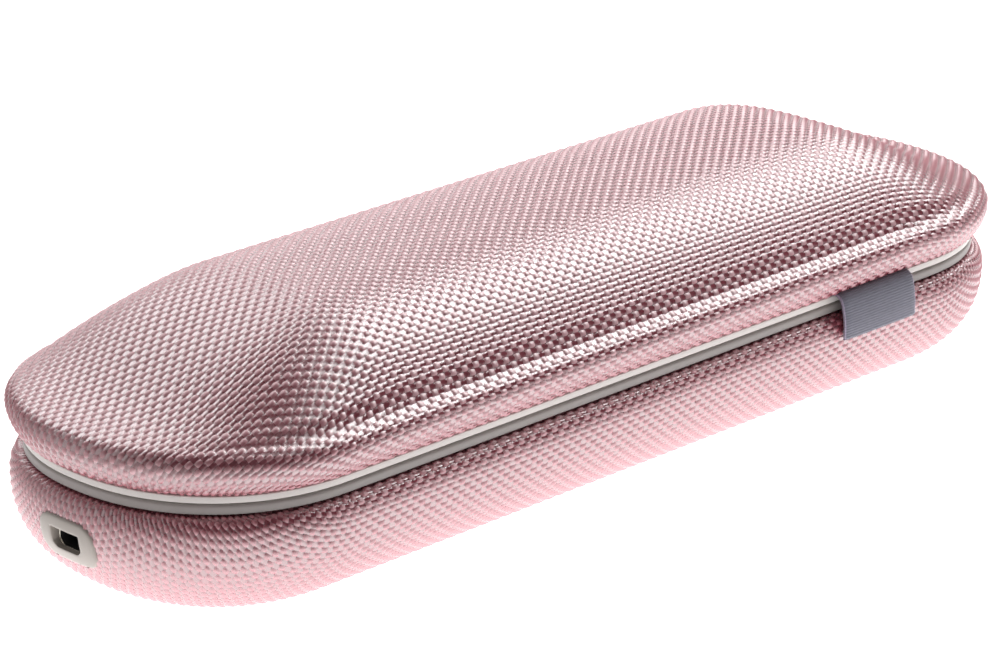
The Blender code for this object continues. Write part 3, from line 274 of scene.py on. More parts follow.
# Woven nylon: round floats with fine filaments, and gaps whose colour falls to burgundy with depth, a painted
# shade.
# The threads along X are paler and softly shiny; those across are painted darker, as shade, and catch the
# light more sharply.
FILAMENTS_PER_THREAD = 7
FILAMENT_DEPTH = 0.005
FILAMENT_TWIST = 2.2
LONG_ROUGHNESS = 0.46
CROSS_ROUGHNESS = 0.24
GAP_SHADE_DEPTHS = (0.24, 0.36)
woven_nylon, tree, shader = start_material("woven_nylon")
shader.inputs["IOR"].default_value = 2.0
shader.inputs["Specular IOR Level"].default_value = 1.0
shader.inputs["Anisotropic"].default_value = 0.7
threads = add_node(tree, "UVMap", uv_map="threads")
split = add_node(tree, "SeparateXYZ", {0: threads})
column = add_node(tree, "Math", {0: split.outputs["X"]}, operation="ROUND")
row = add_node(tree, "Math", {0: split.outputs["Y"]}, operation="ROUND")
part_u = add_node(tree, "Math", {0: split.outputs["X"], 1: column}, operation="SUBTRACT")
part_v = add_node(tree, "Math", {0: split.outputs["Y"], 1: row}, operation="SUBTRACT")
crossing = add_node(tree, "Math", {0: column, 1: row}, operation="ADD")
turned_float = add_node(tree, "Math", {0: crossing, 1: 2.0}, operation="FLOORED_MODULO")
polish = add_node(tree, "MapRange", {"Value": turned_float, "To Min": LONG_ROUGHNESS,
                                     "To Max": CROSS_ROUGHNESS})
tree.links.new(polish.outputs[0], shader.inputs["Roughness"])
difference = add_node(tree, "Math", {0: part_u, 1: part_v}, operation="SUBTRACT")
across = add_node(tree, "Math", {0: difference, 1: turned_float, 2: part_v}, operation="MULTIPLY_ADD")
total = add_node(tree, "Math", {0: part_u, 1: part_v}, operation="ADD")
along_float = add_node(tree, "Math", {0: total, 1: across}, operation="SUBTRACT")
twist = add_node(tree, "Math", {0: along_float, 1: FILAMENT_TWIST}, operation="MULTIPLY")
strands = add_node(tree, "Math", {0: across, 1: 2 * math.pi * FILAMENTS_PER_THREAD, 2: twist},
                   operation="MULTIPLY_ADD")
filament = add_node(tree, "Math", {0: strands}, operation="SINE")
depth = add_node(tree, "Attribute", attribute_name="under")
# Painted shade: the deeper the weave lies at a point, the more its colour falls to burgundy.
gap_painted_shade = add_node(tree, "MapRange", {"Value": depth.outputs["Fac"], "From Min": GAP_SHADE_DEPTHS[0],
                                  "From Max": GAP_SHADE_DEPTHS[1]}, interpolation_type="SMOOTHSTEP")
thread_number = add_node(tree, "CombineXYZ", {0: column, 1: row})
uneven = add_node(tree, "TexWhiteNoise", {"Vector": thread_number}, noise_dimensions="2D")
long_shade = add_node(tree, "MixRGB", {"Fac": uneven, "Color1": srgb("B25E6B"), "Color2": srgb("A6535F")})
# Painted shade: the threads across get a darker colour for the shade they lie in between the floats along X.
cross_painted_shade = add_node(tree, "MixRGB", {"Fac": uneven, "Color1": srgb("8C3B48"), "Color2": srgb("80333F")})
shade = add_node(tree, "MixRGB", {"Fac": turned_float, "Color1": long_shade, "Color2": cross_painted_shade})
thread_colour = add_node(tree, "MixRGB", {"Fac": gap_painted_shade, "Color1": shade, "Color2": srgb("560E1A")})
tree.links.new(thread_colour.outputs[0], shader.inputs["Base Color"])
bump = add_node(tree, "Bump", {"Height": filament, "Distance": FILAMENT_DEPTH * MM})
tree.links.new(bump.outputs[0], shader.inputs["Normal"])
thread_way = add_node(tree, "Tangent", direction_type="UV_MAP", uv_map="threads")
turn = add_node(tree, "MapRange", {"Value": turned_float, "To Min": 0.25, "To Max": 0.0})
tree.links.new(thread_way.outputs[0], shader.inputs["Tangent"])
tree.links.new(turn.outputs[0], shader.inputs["Anisotropic Rotation"])

base_cover.data.materials.append(woven_nylon)
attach(base_cover, "base")
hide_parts("base_fabric")


# Lid cover
# The same cloth, moulded to a bulging side band, a tight round edge and a long rise over the brush.
# Its lower edge ends in the groove, just over the lid's rim.
LID_WIDEST = (2.9, 6.4)
LID_FOOT = (0.3, 1.6)
LID_BAND_EXPONENT = 1.5
LID_EDGE_RADIUS = 3.0
LID_EDGE_TILT = math.radians(25)
LID_EDGE_FALL = 1.2
LID_RISE = 14.35
RISE_HALF_WIDTH = 32.2
RISE_EXPONENT = 3.54
RISE_SOFTNESS = 0.22
RISE_START = (-114.5, 54.0)
RISE_END = (114.0, 50.7)
RISE_BLEND = 3.2
CLIMB_STEP = 0.25

edge_turn = np.linspace(math.pi / 2 - LID_EDGE_TILT, 0, 30)
lid_edge = np.stack([
    LID_WIDEST[0] - LID_EDGE_RADIUS * (1 - np.cos(edge_turn)),
    LID_WIDEST[1] + LID_EDGE_RADIUS * np.sin(edge_turn),
], axis=1)


def smooth_step(share):
    """Eases from 0 to 1."""
    share = np.clip(share, 0, 1)
    return share * share * (3 - 2 * share)


def lid_height(x, y):
    """Height of the lid's top over the seam: a long rise with a soft foot just inside the round edge."""
    past_straight = np.maximum(np.abs(x) - (SEAM_HALF_LENGTH - SEAM_HALF_WIDTH), 0)
    distance = round_end(past_straight, y)
    inside = 1 - np.minimum(distance / RISE_HALF_WIDTH, 2) ** RISE_EXPONENT
    across = (inside + np.hypot(inside, RISE_SOFTNESS)) / 2
    rise = smooth_step((x - RISE_START[0]) / RISE_START[1])
    fall = smooth_step((RISE_END[0] - x) / RISE_END[1])
    from_edge = np.maximum(SEAM_HALF_WIDTH + lid_edge[0, 0] - distance, 0)
    tilt = math.tan(LID_EDGE_TILT) * LID_EDGE_FALL * (1 - np.exp(-from_edge / LID_EDGE_FALL))
    return lid_edge[0, 1] + tilt + LID_RISE * across * rise * fall * smooth_step(from_edge / RISE_BLEND)


def cloth_climb(height, flat_edge):
    """How much more cloth than plan width lies between the middle line and a plan point."""
    xs = np.arange(-SEAM_HALF_LENGTH - 4, SEAM_HALF_LENGTH + 5, 1.0)
    ys = np.arange(0, SEAM_HALF_WIDTH + 4, CLIMB_STEP)
    x, y = np.meshgrid(xs, ys, indexing="ij")
    slope = np.diff(height(x, y), axis=1) / CLIMB_STEP
    spare = np.cumsum((np.sqrt(1 + slope ** 2) - 1) * CLIMB_STEP, axis=1)
    spare = np.concatenate([np.zeros((len(xs), 1)), spare], axis=1)

    def extra(x, y):
        """The spare cloth at plan points, read between the points of the grid."""
        middle, out_x, out_y, offset, seam = from_seam(x, y)
        plan = np.minimum(offset, flat_edge) + seam
        column = np.clip(middle + plan * out_x - xs[0], 0, len(xs) - 1.001)
        row = np.clip(plan * out_y / CLIMB_STEP, 0, len(ys) - 1.001)
        i, j = column.astype(int), row.astype(int)
        a, b = column - i, row - j
        low = spare[i, j] * (1 - b) + spare[i, j + 1] * b
        high = spare[i + 1, j] * (1 - b) + spare[i + 1, j + 1] * b
        return low * (1 - a) + high * a

    return extra, spare.max()


lid_band = quarter(LID_WIDEST, LID_WIDEST[0] - LID_FOOT[0], LID_WIDEST[1] - LID_FOOT[1], LID_BAND_EXPONENT)
lid_hem = np.array([(0.0, LID_FOOT[1] - 0.1), (-0.6, LID_FOOT[1] - 0.12)])
lid_profile = even_points(np.concatenate([lid_edge, lid_band[1:], lid_hem]))
lid_cover, lid_cut, lid_cut_area = lay_cloth("lid_cover", lid_profile, face_up=True, top_height=lid_height)
lid_cover.data.materials.append(woven_nylon)
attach(lid_cover, "lid")
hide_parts("lid_fabric")


# Rims
# Two rings moulded in a satin warm grey ABS blend; the base ring's copy is darker, a painted shade under the
# lid's ring.
# Each clamps the edge of its half's cover, shows as a narrow strip in the groove, and reaches in as a flat
# land.
# Knuckles at the back make the hinges.
RIM_LAND = 8.0
RIM_EDGE = 0.18
HINGE_LINE = (34.3, -0.5)
HINGE_PLACES = (-46.0, 46.0)
KNUCKLE_RADIUS = 1.6
KNUCKLE_BORE = 0.9
KNUCKLE_ROUND = 0.25
LID_KNUCKLE = (-6.0, 6.0)
BASE_KNUCKLES = ((-11.8, -6.3), (6.3, 11.8))
LID_ARM = ((31.7, 0.15), (33.6, 0.15), (33.85, 0.98), (31.7, 1.0))
BASE_ARM = ((31.7, -1.85), (33.5, -1.85), (33.4, -0.75), (31.7, -0.75))


def outline(offset, steps=48):
    """Plan points round the case at a distance past the seam."""
    turn = np.linspace(-math.pi / 2, math.pi / 2, steps + 1)
    cos, sin = np.abs(np.cos(turn)), np.sin(turn)
    way = np.stack([cos ** (2 - 2 / END_EXPONENT), np.sign(sin) * np.abs(sin) ** (2 - 2 / END_EXPONENT)])
    seam = np.stack([cos ** (2 / END_EXPONENT), np.sign(sin) * np.abs(sin) ** (2 / END_EXPONENT)])
    end = SEAM_HALF_WIDTH * seam + offset * way / np.hypot(*way)
    centre = SEAM_HALF_LENGTH - SEAM_HALF_WIDTH
    side_x = np.linspace(centre, -centre, 40)[1:-1]
    side_y = np.full(len(side_x), SEAM_HALF_WIDTH + offset)
    half = np.concatenate([end.T + (centre, 0), np.stack([side_x, side_y], axis=1)])
    return np.concatenate([half, -half])


def rounded(points, radius, steps=3, wide=None):
    """A closed outline with each corner rounded off. wide gives some corners a radius of their own."""
    points = np.asarray(points, float)
    line = []
    neighbours = zip(np.roll(points, 1, axis=0), points, np.roll(points, -1, axis=0))
    for number, (before, corner, after) in enumerate(neighbours):
        ends = []
        for other in (before, after):
            edge = other - corner
            reach = (wide or {}).get(number, radius)
            ends.append(corner + edge * min(reach / np.hypot(*edge), 0.45))
        for t in np.linspace(0, 1, steps + 1):
            line.append((1 - t) ** 2 * ends[0] + 2 * t * (1 - t) * corner + t ** 2 * ends[1])
    return np.array(line)


def grid_faces(rows, columns, close_rows=False, close_columns=False):
    """Four-cornered faces over rows of points, joined round where asked."""
    row, column = np.meshgrid(
        np.arange(rows if close_rows else rows - 1),
        np.arange(columns if close_columns else columns - 1), indexing="ij",
    )
    up, on = (row + 1) % rows, (column + 1) % columns
    corners = (row * columns + column, row * columns + on, up * columns + on, up * columns + column)
    return np.stack(corners, axis=-1).reshape(-1, 4)


def ring_part(section):
    """A ring round the case. Its section runs as (offset, height) points up its outer side first."""
    rows = []
    for offset, height in section:
        plan = outline(offset)
        rows.append(np.column_stack([plan, np.full(len(plan), height)]))
    return np.concatenate(rows), grid_faces(len(rows), len(rows[0]), close_rows=True, close_columns=True)


def turned_part(profile, start, steps=48):
    """A part turned round a line along X from a closed (radius, X) profile."""
    turn = np.linspace(0, 2 * math.pi, steps, endpoint=False)
    start_x, start_y, start_z = start
    rows = [
        np.column_stack([np.full(steps, start_x + x), start_y + r * np.cos(turn), start_z + r * np.sin(turn)])
        for r, x in profile
    ]
    return np.concatenate(rows), grid_faces(len(rows), steps, close_rows=True, close_columns=True)


def arm_part(section, low_x, high_x):
    """A short bar along X with a four-cornered (Y, height) section."""
    points = [(x, y, z) for x in (low_x, high_x) for y, z in section]
    sides = [(i, (i + 1) % 4, 4 + (i + 1) % 4, 4 + i) for i in range(4)]
    return np.array(points), np.array(sides + [(3, 2, 1, 0), (4, 5, 6, 7)])


def joined(parts):
    """One set of points and faces from several."""
    count, faces = 0, []
    for points, corners in parts:
        faces.append(corners + count)
        count += len(points)
    return np.concatenate([points for points, corners in parts]), np.concatenate(faces)


def moulded_piece(name, parts, sharp_angle=40):
    """A piece from parts, smooth but for its true edges."""
    piece = mesh_from(name, *joined(parts))
    piece.data.set_sharp_from_angle(angle=math.radians(sharp_angle))
    return piece


def knuckle(hinge_x, span, arm):
    """A bored barrel on the hinge line and the arm that carries it."""
    low_x, high_x = span
    barrel = rounded([(KNUCKLE_RADIUS, high_x), (KNUCKLE_RADIUS, low_x),
                      (KNUCKLE_BORE, low_x), (KNUCKLE_BORE, high_x)], KNUCKLE_ROUND)
    return [turned_part(barrel, (hinge_x, *HINGE_LINE)), arm_part(arm, hinge_x + low_x, hinge_x + high_x)]


# Satin ABS blend, spark-eroded mould: even and softly glossy, with a fine tooth that breaks highlights.
# The tooth is some 0.05 mm in the real part and drawn four times as coarse.
TOOTH_MM = 0.2


def moulded_plastic(name, colour, roughness, tooth=TOOTH_MM, depth=0.01):
    """A moulded finish with slightly clouded colour and a tooth of the given size and depth in mm."""
    material, tree, shader = start_material(name)
    place = add_node(tree, "TexCoord")
    grain = add_node(tree, "TexNoise", {"Vector": place.outputs["Object"], "Scale": 1 / (tooth * MM),
                                        "Detail": 2.0})
    cloud = add_node(tree, "TexNoise", {"Vector": place.outputs["Object"], "Scale": 40.0, "Detail": 3.0})
    low, high = (tuple(part * share for part in srgb(colour)[:3]) + (1.0,) for share in (0.93, 1.03))
    tone = add_node(tree, "MixRGB", {"Fac": cloud, "Color1": low, "Color2": high})
    polish = add_node(tree, "MapRange", {"Value": grain, "To Min": roughness - 0.06,
                                         "To Max": roughness + 0.06})
    bump = add_node(tree, "Bump", {"Height": grain, "Distance": depth * MM, "Strength": 0.6})
    tree.links.new(tone.outputs[0], shader.inputs["Base Color"])
    tree.links.new(polish.outputs[0], shader.inputs["Roughness"])
    tree.links.new(bump.outputs[0], shader.inputs["Normal"])
    return material


lid_abs = moulded_plastic("satin_moulded_abs_light", "DDD7D3", 0.4)
# Painted shade: the base ring is the same ABS made darker for the shade it lies in under the lid's ring.
base_rim_shaded_abs = moulded_plastic("satin_moulded_abs_painted_shade", "A29B98", 0.42)
lid_rim_section = [(0, 0.12), (0, 1.35), (-2.9, 1.35), (-2.9, 5.15), (-3.9, 5.15), (-3.9, 1.15),
                   (-RIM_LAND, 1.15), (-RIM_LAND, 0.12)]
base_rim_section = [(-2.0, -5.8), (-2.0, -1.85), (0, -1.85), (0, -0.15), (-RIM_LAND, -0.15),
                    (-RIM_LAND, -1.15), (-3.0, -1.15), (-3.0, -5.8)]
lid_rim_parts = [ring_part(rounded(lid_rim_section, RIM_EDGE))]
base_rim_parts = [ring_part(rounded(base_rim_section, RIM_EDGE, steps=5, wide={3: 0.7}))]
for hinge_x in HINGE_PLACES:
    lid_rim_parts += knuckle(hinge_x, LID_KNUCKLE, LID_ARM)
    for span in BASE_KNUCKLES:
        base_rim_parts += knuckle(hinge_x, span, BASE_ARM)
for half, parts, plastic in (("lid", lid_rim_parts, lid_abs), ("base", base_rim_parts, base_rim_shaded_abs)):
    rim = moulded_piece(f"{half}_rim_ring", parts)
    rim.data.materials.append(plastic)
    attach(rim, half)
    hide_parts(f"{half}_rim")


# Charging socket
# A satin moulded bezel set flush in the base's end, with a nickel-plated steel receptacle behind its
# opening. The receptacle's black tongue carries the contacts.
BEZEL_HALF_WIDTH = 6.9
BEZEL_HALF_HEIGHT = 4.3
BEZEL_CORNER = 3.4
BEZEL_PROUD = 0.25
BEZEL_ROUND = 0.6
BEZEL_DEPTH = 3.0
SOCKET_OPENING = ((3.5, 1.9), (-3.5, 1.9), (-3.5, -1.0), (-2.6, -1.9), (2.6, -1.9), (3.5, -1.0))
RECEPTACLE_SINK = 1.6
RECEPTACLE_END = -100.0
RECEPTACLE_WALL = 0.35
RECEPTACLE_GAP = 0.2
RECEPTACLE_BANDS = 7
NYLON_AND_SHADE_BANDS = 2


def skin_x(y, height):
    """X of the base's face at the socket's end, for a height from the seam below the widest line."""
    climb = np.clip((BASE_WIDEST[1] - height) / BASE_SWEEP[1], 0, 1)
    turn = np.arcsin(climb ** (BASE_SWEEP_EXPONENT / 2))
    offset = BASE_WIDEST[0] - BASE_SWEEP[0] * (1 - np.cos(turn) ** (2 / BASE_SWEEP_EXPONENT))
    reach = np.full_like(y, SEAM_HALF_WIDTH)
    for _ in range(6):
        out_y = y / (reach + offset)
        out_x = np.sqrt(1 - out_y ** 2)
        reach = SEAM_HALF_WIDTH / round_end(out_x, out_y)
    return SEAM_HALF_WIDTH - SEAM_HALF_LENGTH - (reach + offset) * out_x


def bezel_edge(way, shrink):
    """Points of the bezel's round-cornered outline, drawn in by shrink, in given directions."""
    wide, high = BEZEL_HALF_WIDTH - shrink, BEZEL_HALF_HEIGHT - shrink
    corner = BEZEL_CORNER - shrink
    near, far = np.zeros(len(way)), np.full(len(way), 12.0)
    for _ in range(40):
        middle = (near + far) / 2
        past = np.abs(way) * middle[:, None] - (wide - corner, high - corner)
        beyond = np.hypot(*np.maximum(past, 0).T) + np.minimum(past.max(axis=1), 0) - corner
        near, far = np.where(beyond < 0, middle, near), np.where(beyond < 0, far, middle)
    return way * near[:, None]


def bezel_part():
    """The bezel: a collar behind a rounded outer edge, a face that follows the base's, and the mouth."""
    corners = rounded(SOCKET_OPENING, 0.35, 4)
    mouth = np.concatenate([
        np.linspace(a, b, 6, endpoint=False) for a, b in zip(corners, np.roll(corners, -1, axis=0))
    ])
    way = mouth / np.hypot(*mouth.T)[:, None]
    rows = []
    for turn in np.linspace(0, math.pi / 2, 5):
        inset = BEZEL_ROUND * (1 - math.cos(turn))
        rise = BEZEL_PROUD - BEZEL_ROUND * (1 - math.sin(turn))
        rows.append((bezel_edge(way, inset), rise))
    rows.insert(0, (bezel_edge(way, 0), -BEZEL_DEPTH))
    face = bezel_edge(way, BEZEL_ROUND)
    rows += [(face * (1 - share) + mouth * 1.06 * share, BEZEL_PROUD) for share in (0.25, 0.5, 0.75, 1.0)]
    rows += [(mouth * 1.02, BEZEL_PROUD - 0.06), (mouth, BEZEL_PROUD - 0.2), (mouth, -BEZEL_DEPTH)]
    points = []
    for line, rise in rows:
        y, z = line[:, 0], line[:, 1] + PORT_LEVEL
        points.append(np.column_stack([skin_x(y, z) - rise, y, z]))
    return np.concatenate(points), grid_faces(len(rows), len(mouth), close_rows=True, close_columns=True)


bezel = moulded_piece("socket_bezel", [bezel_part()], sharp_angle=50)
bezel.data.materials.append(moulded_plastic("satin_moulded_port_abs", "9B928B", 0.4))
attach(bezel, "base")
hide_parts("usb_bezel")


def dress(material, *nodes):
    """Gives CAD nodes whose shape is right a finish."""
    for name in nodes:
        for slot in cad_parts[name].material_slots:
            slot.material = material


# Nickel plating on pressed steel: a warm bright metal with faint die lines along the draw.
LINE_STRETCH = 20.0


def drawn_metal(name, colour, roughness, line_mm):
    """A drawn or turned metal with lines of the given width along X."""
    material, tree, shader = start_material(name, metallic=1.0)
    place = add_node(tree, "TexCoord")
    squeeze = (LINE_STRETCH, 1 / (line_mm * MM), 1 / (line_mm * MM))
    lines = add_node(tree, "VectorMath", {0: place.outputs["Object"], 1: squeeze}, operation="MULTIPLY")
    grain = add_node(tree, "TexNoise", {"Vector": lines, "Scale": 1.0, "Detail": 3.0})
    low, high = (tuple(part * share for part in srgb(colour)[:3]) + (1.0,) for share in (0.85, 1.05))
    tone = add_node(tree, "MixRGB", {"Fac": grain, "Color1": low, "Color2": high})
    polish = add_node(tree, "MapRange", {"Value": grain, "To Min": roughness - 0.08,
                                         "To Max": roughness + 0.1})
    bump = add_node(tree, "Bump", {"Height": grain, "Distance": 0.004 * MM})
    tree.links.new(tone.outputs[0], shader.inputs["Base Color"])
    tree.links.new(polish.outputs[0], shader.inputs["Roughness"])
    tree.links.new(bump.outputs[0], shader.inputs["Normal"])
    return material


def receptacle_part():
    """The socket's drawn steel shell: a short six-sided tube with a closed back, from its inside outwards."""
    half_width = SOCKET_OPENING[0][0]
    inside = rounded(SOCKET_OPENING, 0.5, 4) * (1 - RECEPTACLE_GAP / half_width)
    outside = inside * (1 + RECEPTACLE_WALL / half_width)
    front = float(skin_x(np.array([0.0]), np.array([PORT_LEVEL]))[0]) + RECEPTACLE_SINK
    lead_in = front + 0.15
    back_inside = RECEPTACLE_END - 0.3
    rows = [(inside * 0.02, back_inside), (inside, back_inside), (inside, lead_in), (inside * 1.03, front),
            (outside * 0.98, front), (outside, lead_in), (outside, RECEPTACLE_END),
            (outside * 0.02, RECEPTACLE_END)]
    points = [
        np.column_stack([np.full(len(line), x), line[:, 0], line[:, 1] + PORT_LEVEL])
        for line, x in rows
    ]
    return np.concatenate(points), grid_faces(len(rows), len(inside), close_columns=True)


nickel_plate = drawn_metal("nickel_plated_steel", "D9D4C8", 0.24, 0.3)
black_nylon = moulded_plastic("glass_filled_black_nylon", "1B1B1C", 0.5)
receptacle = moulded_piece("socket_receptacle", [receptacle_part()])
receptacle.data.materials.append(nickel_plate)
receptacle.data.materials.append(black_nylon)
# The first bands of faces, the back and the walls inside, take the tongue's black nylon: at the back it is
# the socket's own nylon, on the steel walls inside it is painted shade.
face_count = len(receptacle.data.polygons)
nylon_and_shade_faces = NYLON_AND_SHADE_BANDS * face_count // RECEPTACLE_BANDS
receptacle.data.polygons.foreach_set("material_index", [int(face < nylon_and_shade_faces) for face in range(face_count)])
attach(receptacle, "base")
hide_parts("usb_socket")
dress(nickel_plate, "base_magnet_1", "base_magnet_2", "lid_magnet_1", "lid_magnet_2", "capacitor")
dress(black_nylon, "usb_tongue", "coil_bobbin", "driver_chip", "regulator_chip")


# Inside
# The tray, the hub and the liner are moulded in a fine matt ABS. Steel screws hold the tray and hub,
# and steel pins turn in the rims' knuckles.
matt_abs = moulded_plastic("matt_moulded_abs", "CFC9C5", 0.55, tooth=0.35, depth=0.02)
dress(matt_abs, "base_tray", "lid_liner", "charging_hub", "hub_cap")
shell_abs = moulded_plastic("moulded_shell_abs", "8F8C8B", 0.6)
dress(shell_abs, "base_shell", "lid_shell")
turned_steel = drawn_metal("turned_steel", "C4C4C2", 0.32, 0.12)
dress(turned_steel, "hinge_pin_1", "hinge_pin_2", "board_screw_1", "board_screw_2",
      *(f"tray_screw_{number}" for number in (1, 2, 3, 4)))

# Enamelled copper wire, wound: fine bright turns.
dress(drawn_metal("enamelled_copper_wire", "C27A4A", 0.3, 0.25), "charging_coil")
# Sintered ferrite: dark and dull with a fine dry grain.
ferrite = moulded_plastic("sintered_ferrite", "36363A", 0.65, tooth=0.15, depth=0.02)
dress(ferrite, "ferrite_core", "inductor")
# Solder mask over laminate: glossy green with the glass weave just showing.
dress(moulded_plastic("green_solder_mask", "1F6B45", 0.25, tooth=0.6), "circuit_board")
# Extruded silicone sleeve: soft red with a dull gloss.
dress(moulded_plastic("silicone_lead_sleeve", "A02A28", 0.45), "coil_lead_1", "coil_lead_2")


# Pull tab
# A strip of ribbed polyester ribbon, folded double, whose cut ends are caught under the lid cover's edge.
# Its fold hangs over the seam.
TAB_WIDTH = 20.4
TAB_MIDDLE = 57.5
TAB_THICKNESS = 0.8
RIB_PITCH = 0.5
WARP_PITCH = 0.34
TAB_SAG = 0.12
TAB_EDGE = 0.4
TAB_PATH = ((-0.6, 1.7), (0.5, 1.72), (1.35, 1.5), (2.1, 0.8),
            (2.6, -0.5), (2.95, -2.2), (3.18, -4.1), (3.2, -6.4))


def smooth_line(points, per_span=8):
    """A Catmull-Rom curve through points."""
    points = np.asarray(points, float)
    padded = np.concatenate([[2 * points[0] - points[1]], points, [2 * points[-1] - points[-2]]])
    line = []
    for a, b, c, d in zip(padded, padded[1:], padded[2:], padded[3:]):
        for t in np.arange(per_span) / per_span:
            line.append(0.5 * (2 * b + (c - a) * t + (2 * a - 5 * b + 4 * c - d) * t ** 2
                               + (3 * b - a - 3 * c + d) * t ** 3))
    line.append(points[-1])
    return np.array(line)


def tab_part():
    """The folded ribbon: its points, faces, UV in ribbon millimetres, and length round the fold.

    The loop runs down the outer ply, round the fold and up the inner one. The ribbon thins at its
    selvedges, where the two plies close, and its outer edges hang a little lower than its middle.
    """
    line = smooth_line(TAB_PATH)
    way = np.gradient(line, axis=0)
    way /= np.hypot(*way.T)[:, None]
    side = np.column_stack([-way[:, 1], way[:, 0]]) * TAB_THICKNESS / 2
    fold = [line[-1] + side[-1] * math.cos(t) + way[-1] * TAB_THICKNESS / 2 * math.sin(t)
            for t in np.linspace(0, math.pi, 9)[1:-1]]
    fold = np.array(fold) - way[-1] * TAB_THICKNESS / 2
    loop = np.concatenate([line + side, fold, (line - side)[::-1]])
    run = np.concatenate([[0], np.cumsum(np.hypot(*np.diff(loop, axis=0).T))])
    half = TAB_WIDTH / 2
    across = np.array([-half, -half + 0.12, -half + 0.5, *np.linspace(-half + 1.5, half - 1.5, 8),
                       half - 0.5, half - 0.12, half])
    pinch = np.clip((half - np.abs(across)) / TAB_EDGE, 0.25, 1) ** 0.5
    centre = np.concatenate([line, np.repeat(line[-1:], len(fold), axis=0), line[::-1]])
    rows, uv = [], []
    for x, thin in zip(across, pinch):
        shape = centre + (loop - centre) * thin
        sag = TAB_SAG * np.sin(run / run[-1] * math.pi) * (x / half) ** 2
        rows.append(np.column_stack([np.full(len(loop), TAB_MIDDLE + x),
                                     -(SEAM_HALF_WIDTH + shape[:, 0] - sag), shape[:, 1]]))
        uv.append(np.column_stack([np.full(len(loop), x), run]))
    points, faces = np.concatenate(rows), grid_faces(len(rows), len(loop))
    uv = np.concatenate(uv)
    ends = []
    count = len(loop)
    for start in (0, (len(rows) - 1) * count):
        strip = np.arange(count // 2)
        quads = np.stack([start + strip, start + strip + 1,
                          start + count - 2 - strip, start + count - 1 - strip], axis=-1)
        ends.append(quads[: count // 2 - 1] if start else quads[: count // 2 - 1, ::-1])
    return points, np.concatenate([faces] + ends), uv, run[-1]


tab_points, tab_faces, tab_uv, ribbon_length = tab_part()
pull_tab = mesh_from("ribbon_tab", tab_points, tab_faces, {"ribbon": tab_uv})

# Woven polyester ribbon: dull slate with a rib at every weft, and a paler selvedge.
ribbon, tree, shader = start_material("ribbed_polyester_ribbon", roughness=0.62)
shader.inputs["Sheen Weight"].default_value = 0.25
shader.inputs["Sheen Roughness"].default_value = 0.4
strip = add_node(tree, "UVMap", uv_map="ribbon")
split = add_node(tree, "SeparateXYZ", {0: strip})
rib_turn = add_node(tree, "Math", {0: split.outputs["Y"], 1: 2 * math.pi / RIB_PITCH}, operation="MULTIPLY")
rib = add_node(tree, "Math", {0: rib_turn}, operation="SINE")
warp_turn = add_node(tree, "Math", {0: split.outputs["X"], 1: 2 * math.pi / WARP_PITCH}, operation="MULTIPLY")
warp = add_node(tree, "Math", {0: warp_turn}, operation="SINE")
relief = add_node(tree, "Math", {0: warp, 1: 0.35, 2: rib}, operation="MULTIPLY_ADD")
stretch = add_node(tree, "VectorMath", {0: strip, 1: (0.5, 5.0, 1.0)}, operation="MULTIPLY")
streak = add_node(tree, "TexNoise", {"Vector": stretch, "Scale": 1.0, "Detail": 3.0})
slate = add_node(tree, "MixRGB", {"Fac": streak, "Color1": srgb("55535F"), "Color2": srgb("787786")})
from_middle = add_node(tree, "Math", {0: split.outputs["X"]}, operation="ABSOLUTE")
selvedge = add_node(tree, "MapRange", {"Value": from_middle, "From Min": TAB_WIDTH / 2 - 0.3,
                                       "From Max": TAB_WIDTH / 2 - 0.1})
edged = add_node(tree, "MixRGB", {"Fac": selvedge, "Color1": slate, "Color2": srgb("A598B0")})
bump = add_node(tree, "Bump", {"Height": relief, "Distance": 0.03 * MM})
tree.links.new(edged.outputs[0], shader.inputs["Base Color"])
tree.links.new(bump.outputs[0], shader.inputs["Normal"])
pull_tab.data.materials.append(ribbon)
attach(pull_tab, "lid")
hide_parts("pull_tab")


# Floor and backdrop
# A white light table, bright under and round the case and dimmer in front. A low band of light all round
# stands for the pale room. The camera sees table and room in an even white.
TABLE_HALF = 2.5
SEEN_WHITE = (1.2, 1.2, 1.2, 1.0)
NEAR_GLOW = 1.75
NEAR_GLOW_CENTRE = (0.022, -0.006, 0.0)
NEAR_GLOW_REACH = (0.066, 0.104)
WIDE_GLOW = 0.6
WIDE_GLOW_AHEAD = 0.1
WIDE_GLOW_REACH = (0.0, 0.3)
AHEAD = (-0.5, -0.87, 0.0)
HORIZON_GLOW = 1.5
SKY_GLOW = 0.05
HORIZON_GLOW_REACH = (0.02, 0.18)
floor_mesh = bpy.data.meshes.new("floor")
floor_form = bmesh.new()
bmesh.ops.create_grid(floor_form, x_segments=1, y_segments=1, size=TABLE_HALF)
floor_form.to_mesh(floor_mesh)
floor_form.free()
floor = bpy.data.objects.new("floor", floor_mesh)
floor.location.z = -CROWN_OUT * MM
bpy.context.scene.collection.objects.link(floor)
light_table, tree, shader = start_material("light_table", roughness=0.9)
shader.inputs["Base Color"].default_value = srgb("9C9C9C")
shader.inputs["Emission Color"].default_value = srgb("FFFFFF")
place = add_node(tree, "TexCoord")
from_centre = add_node(tree, "VectorMath", {0: place.outputs["Object"], 1: NEAR_GLOW_CENTRE},
                       operation="SUBTRACT")
split = add_node(tree, "SeparateXYZ", {0: from_centre})
end_side = add_node(tree, "Math", {0: split.outputs["X"]}, operation="ABSOLUTE")
past_side = add_node(tree, "Math", {0: end_side, 1: (SEAM_HALF_LENGTH - SEAM_HALF_WIDTH) * MM},
                     operation="SUBTRACT")
past_side = add_node(tree, "Math", {0: past_side, 1: 0.0}, operation="MAXIMUM")
from_line = add_node(tree, "CombineXYZ", {0: past_side, 1: split.outputs["Y"]})
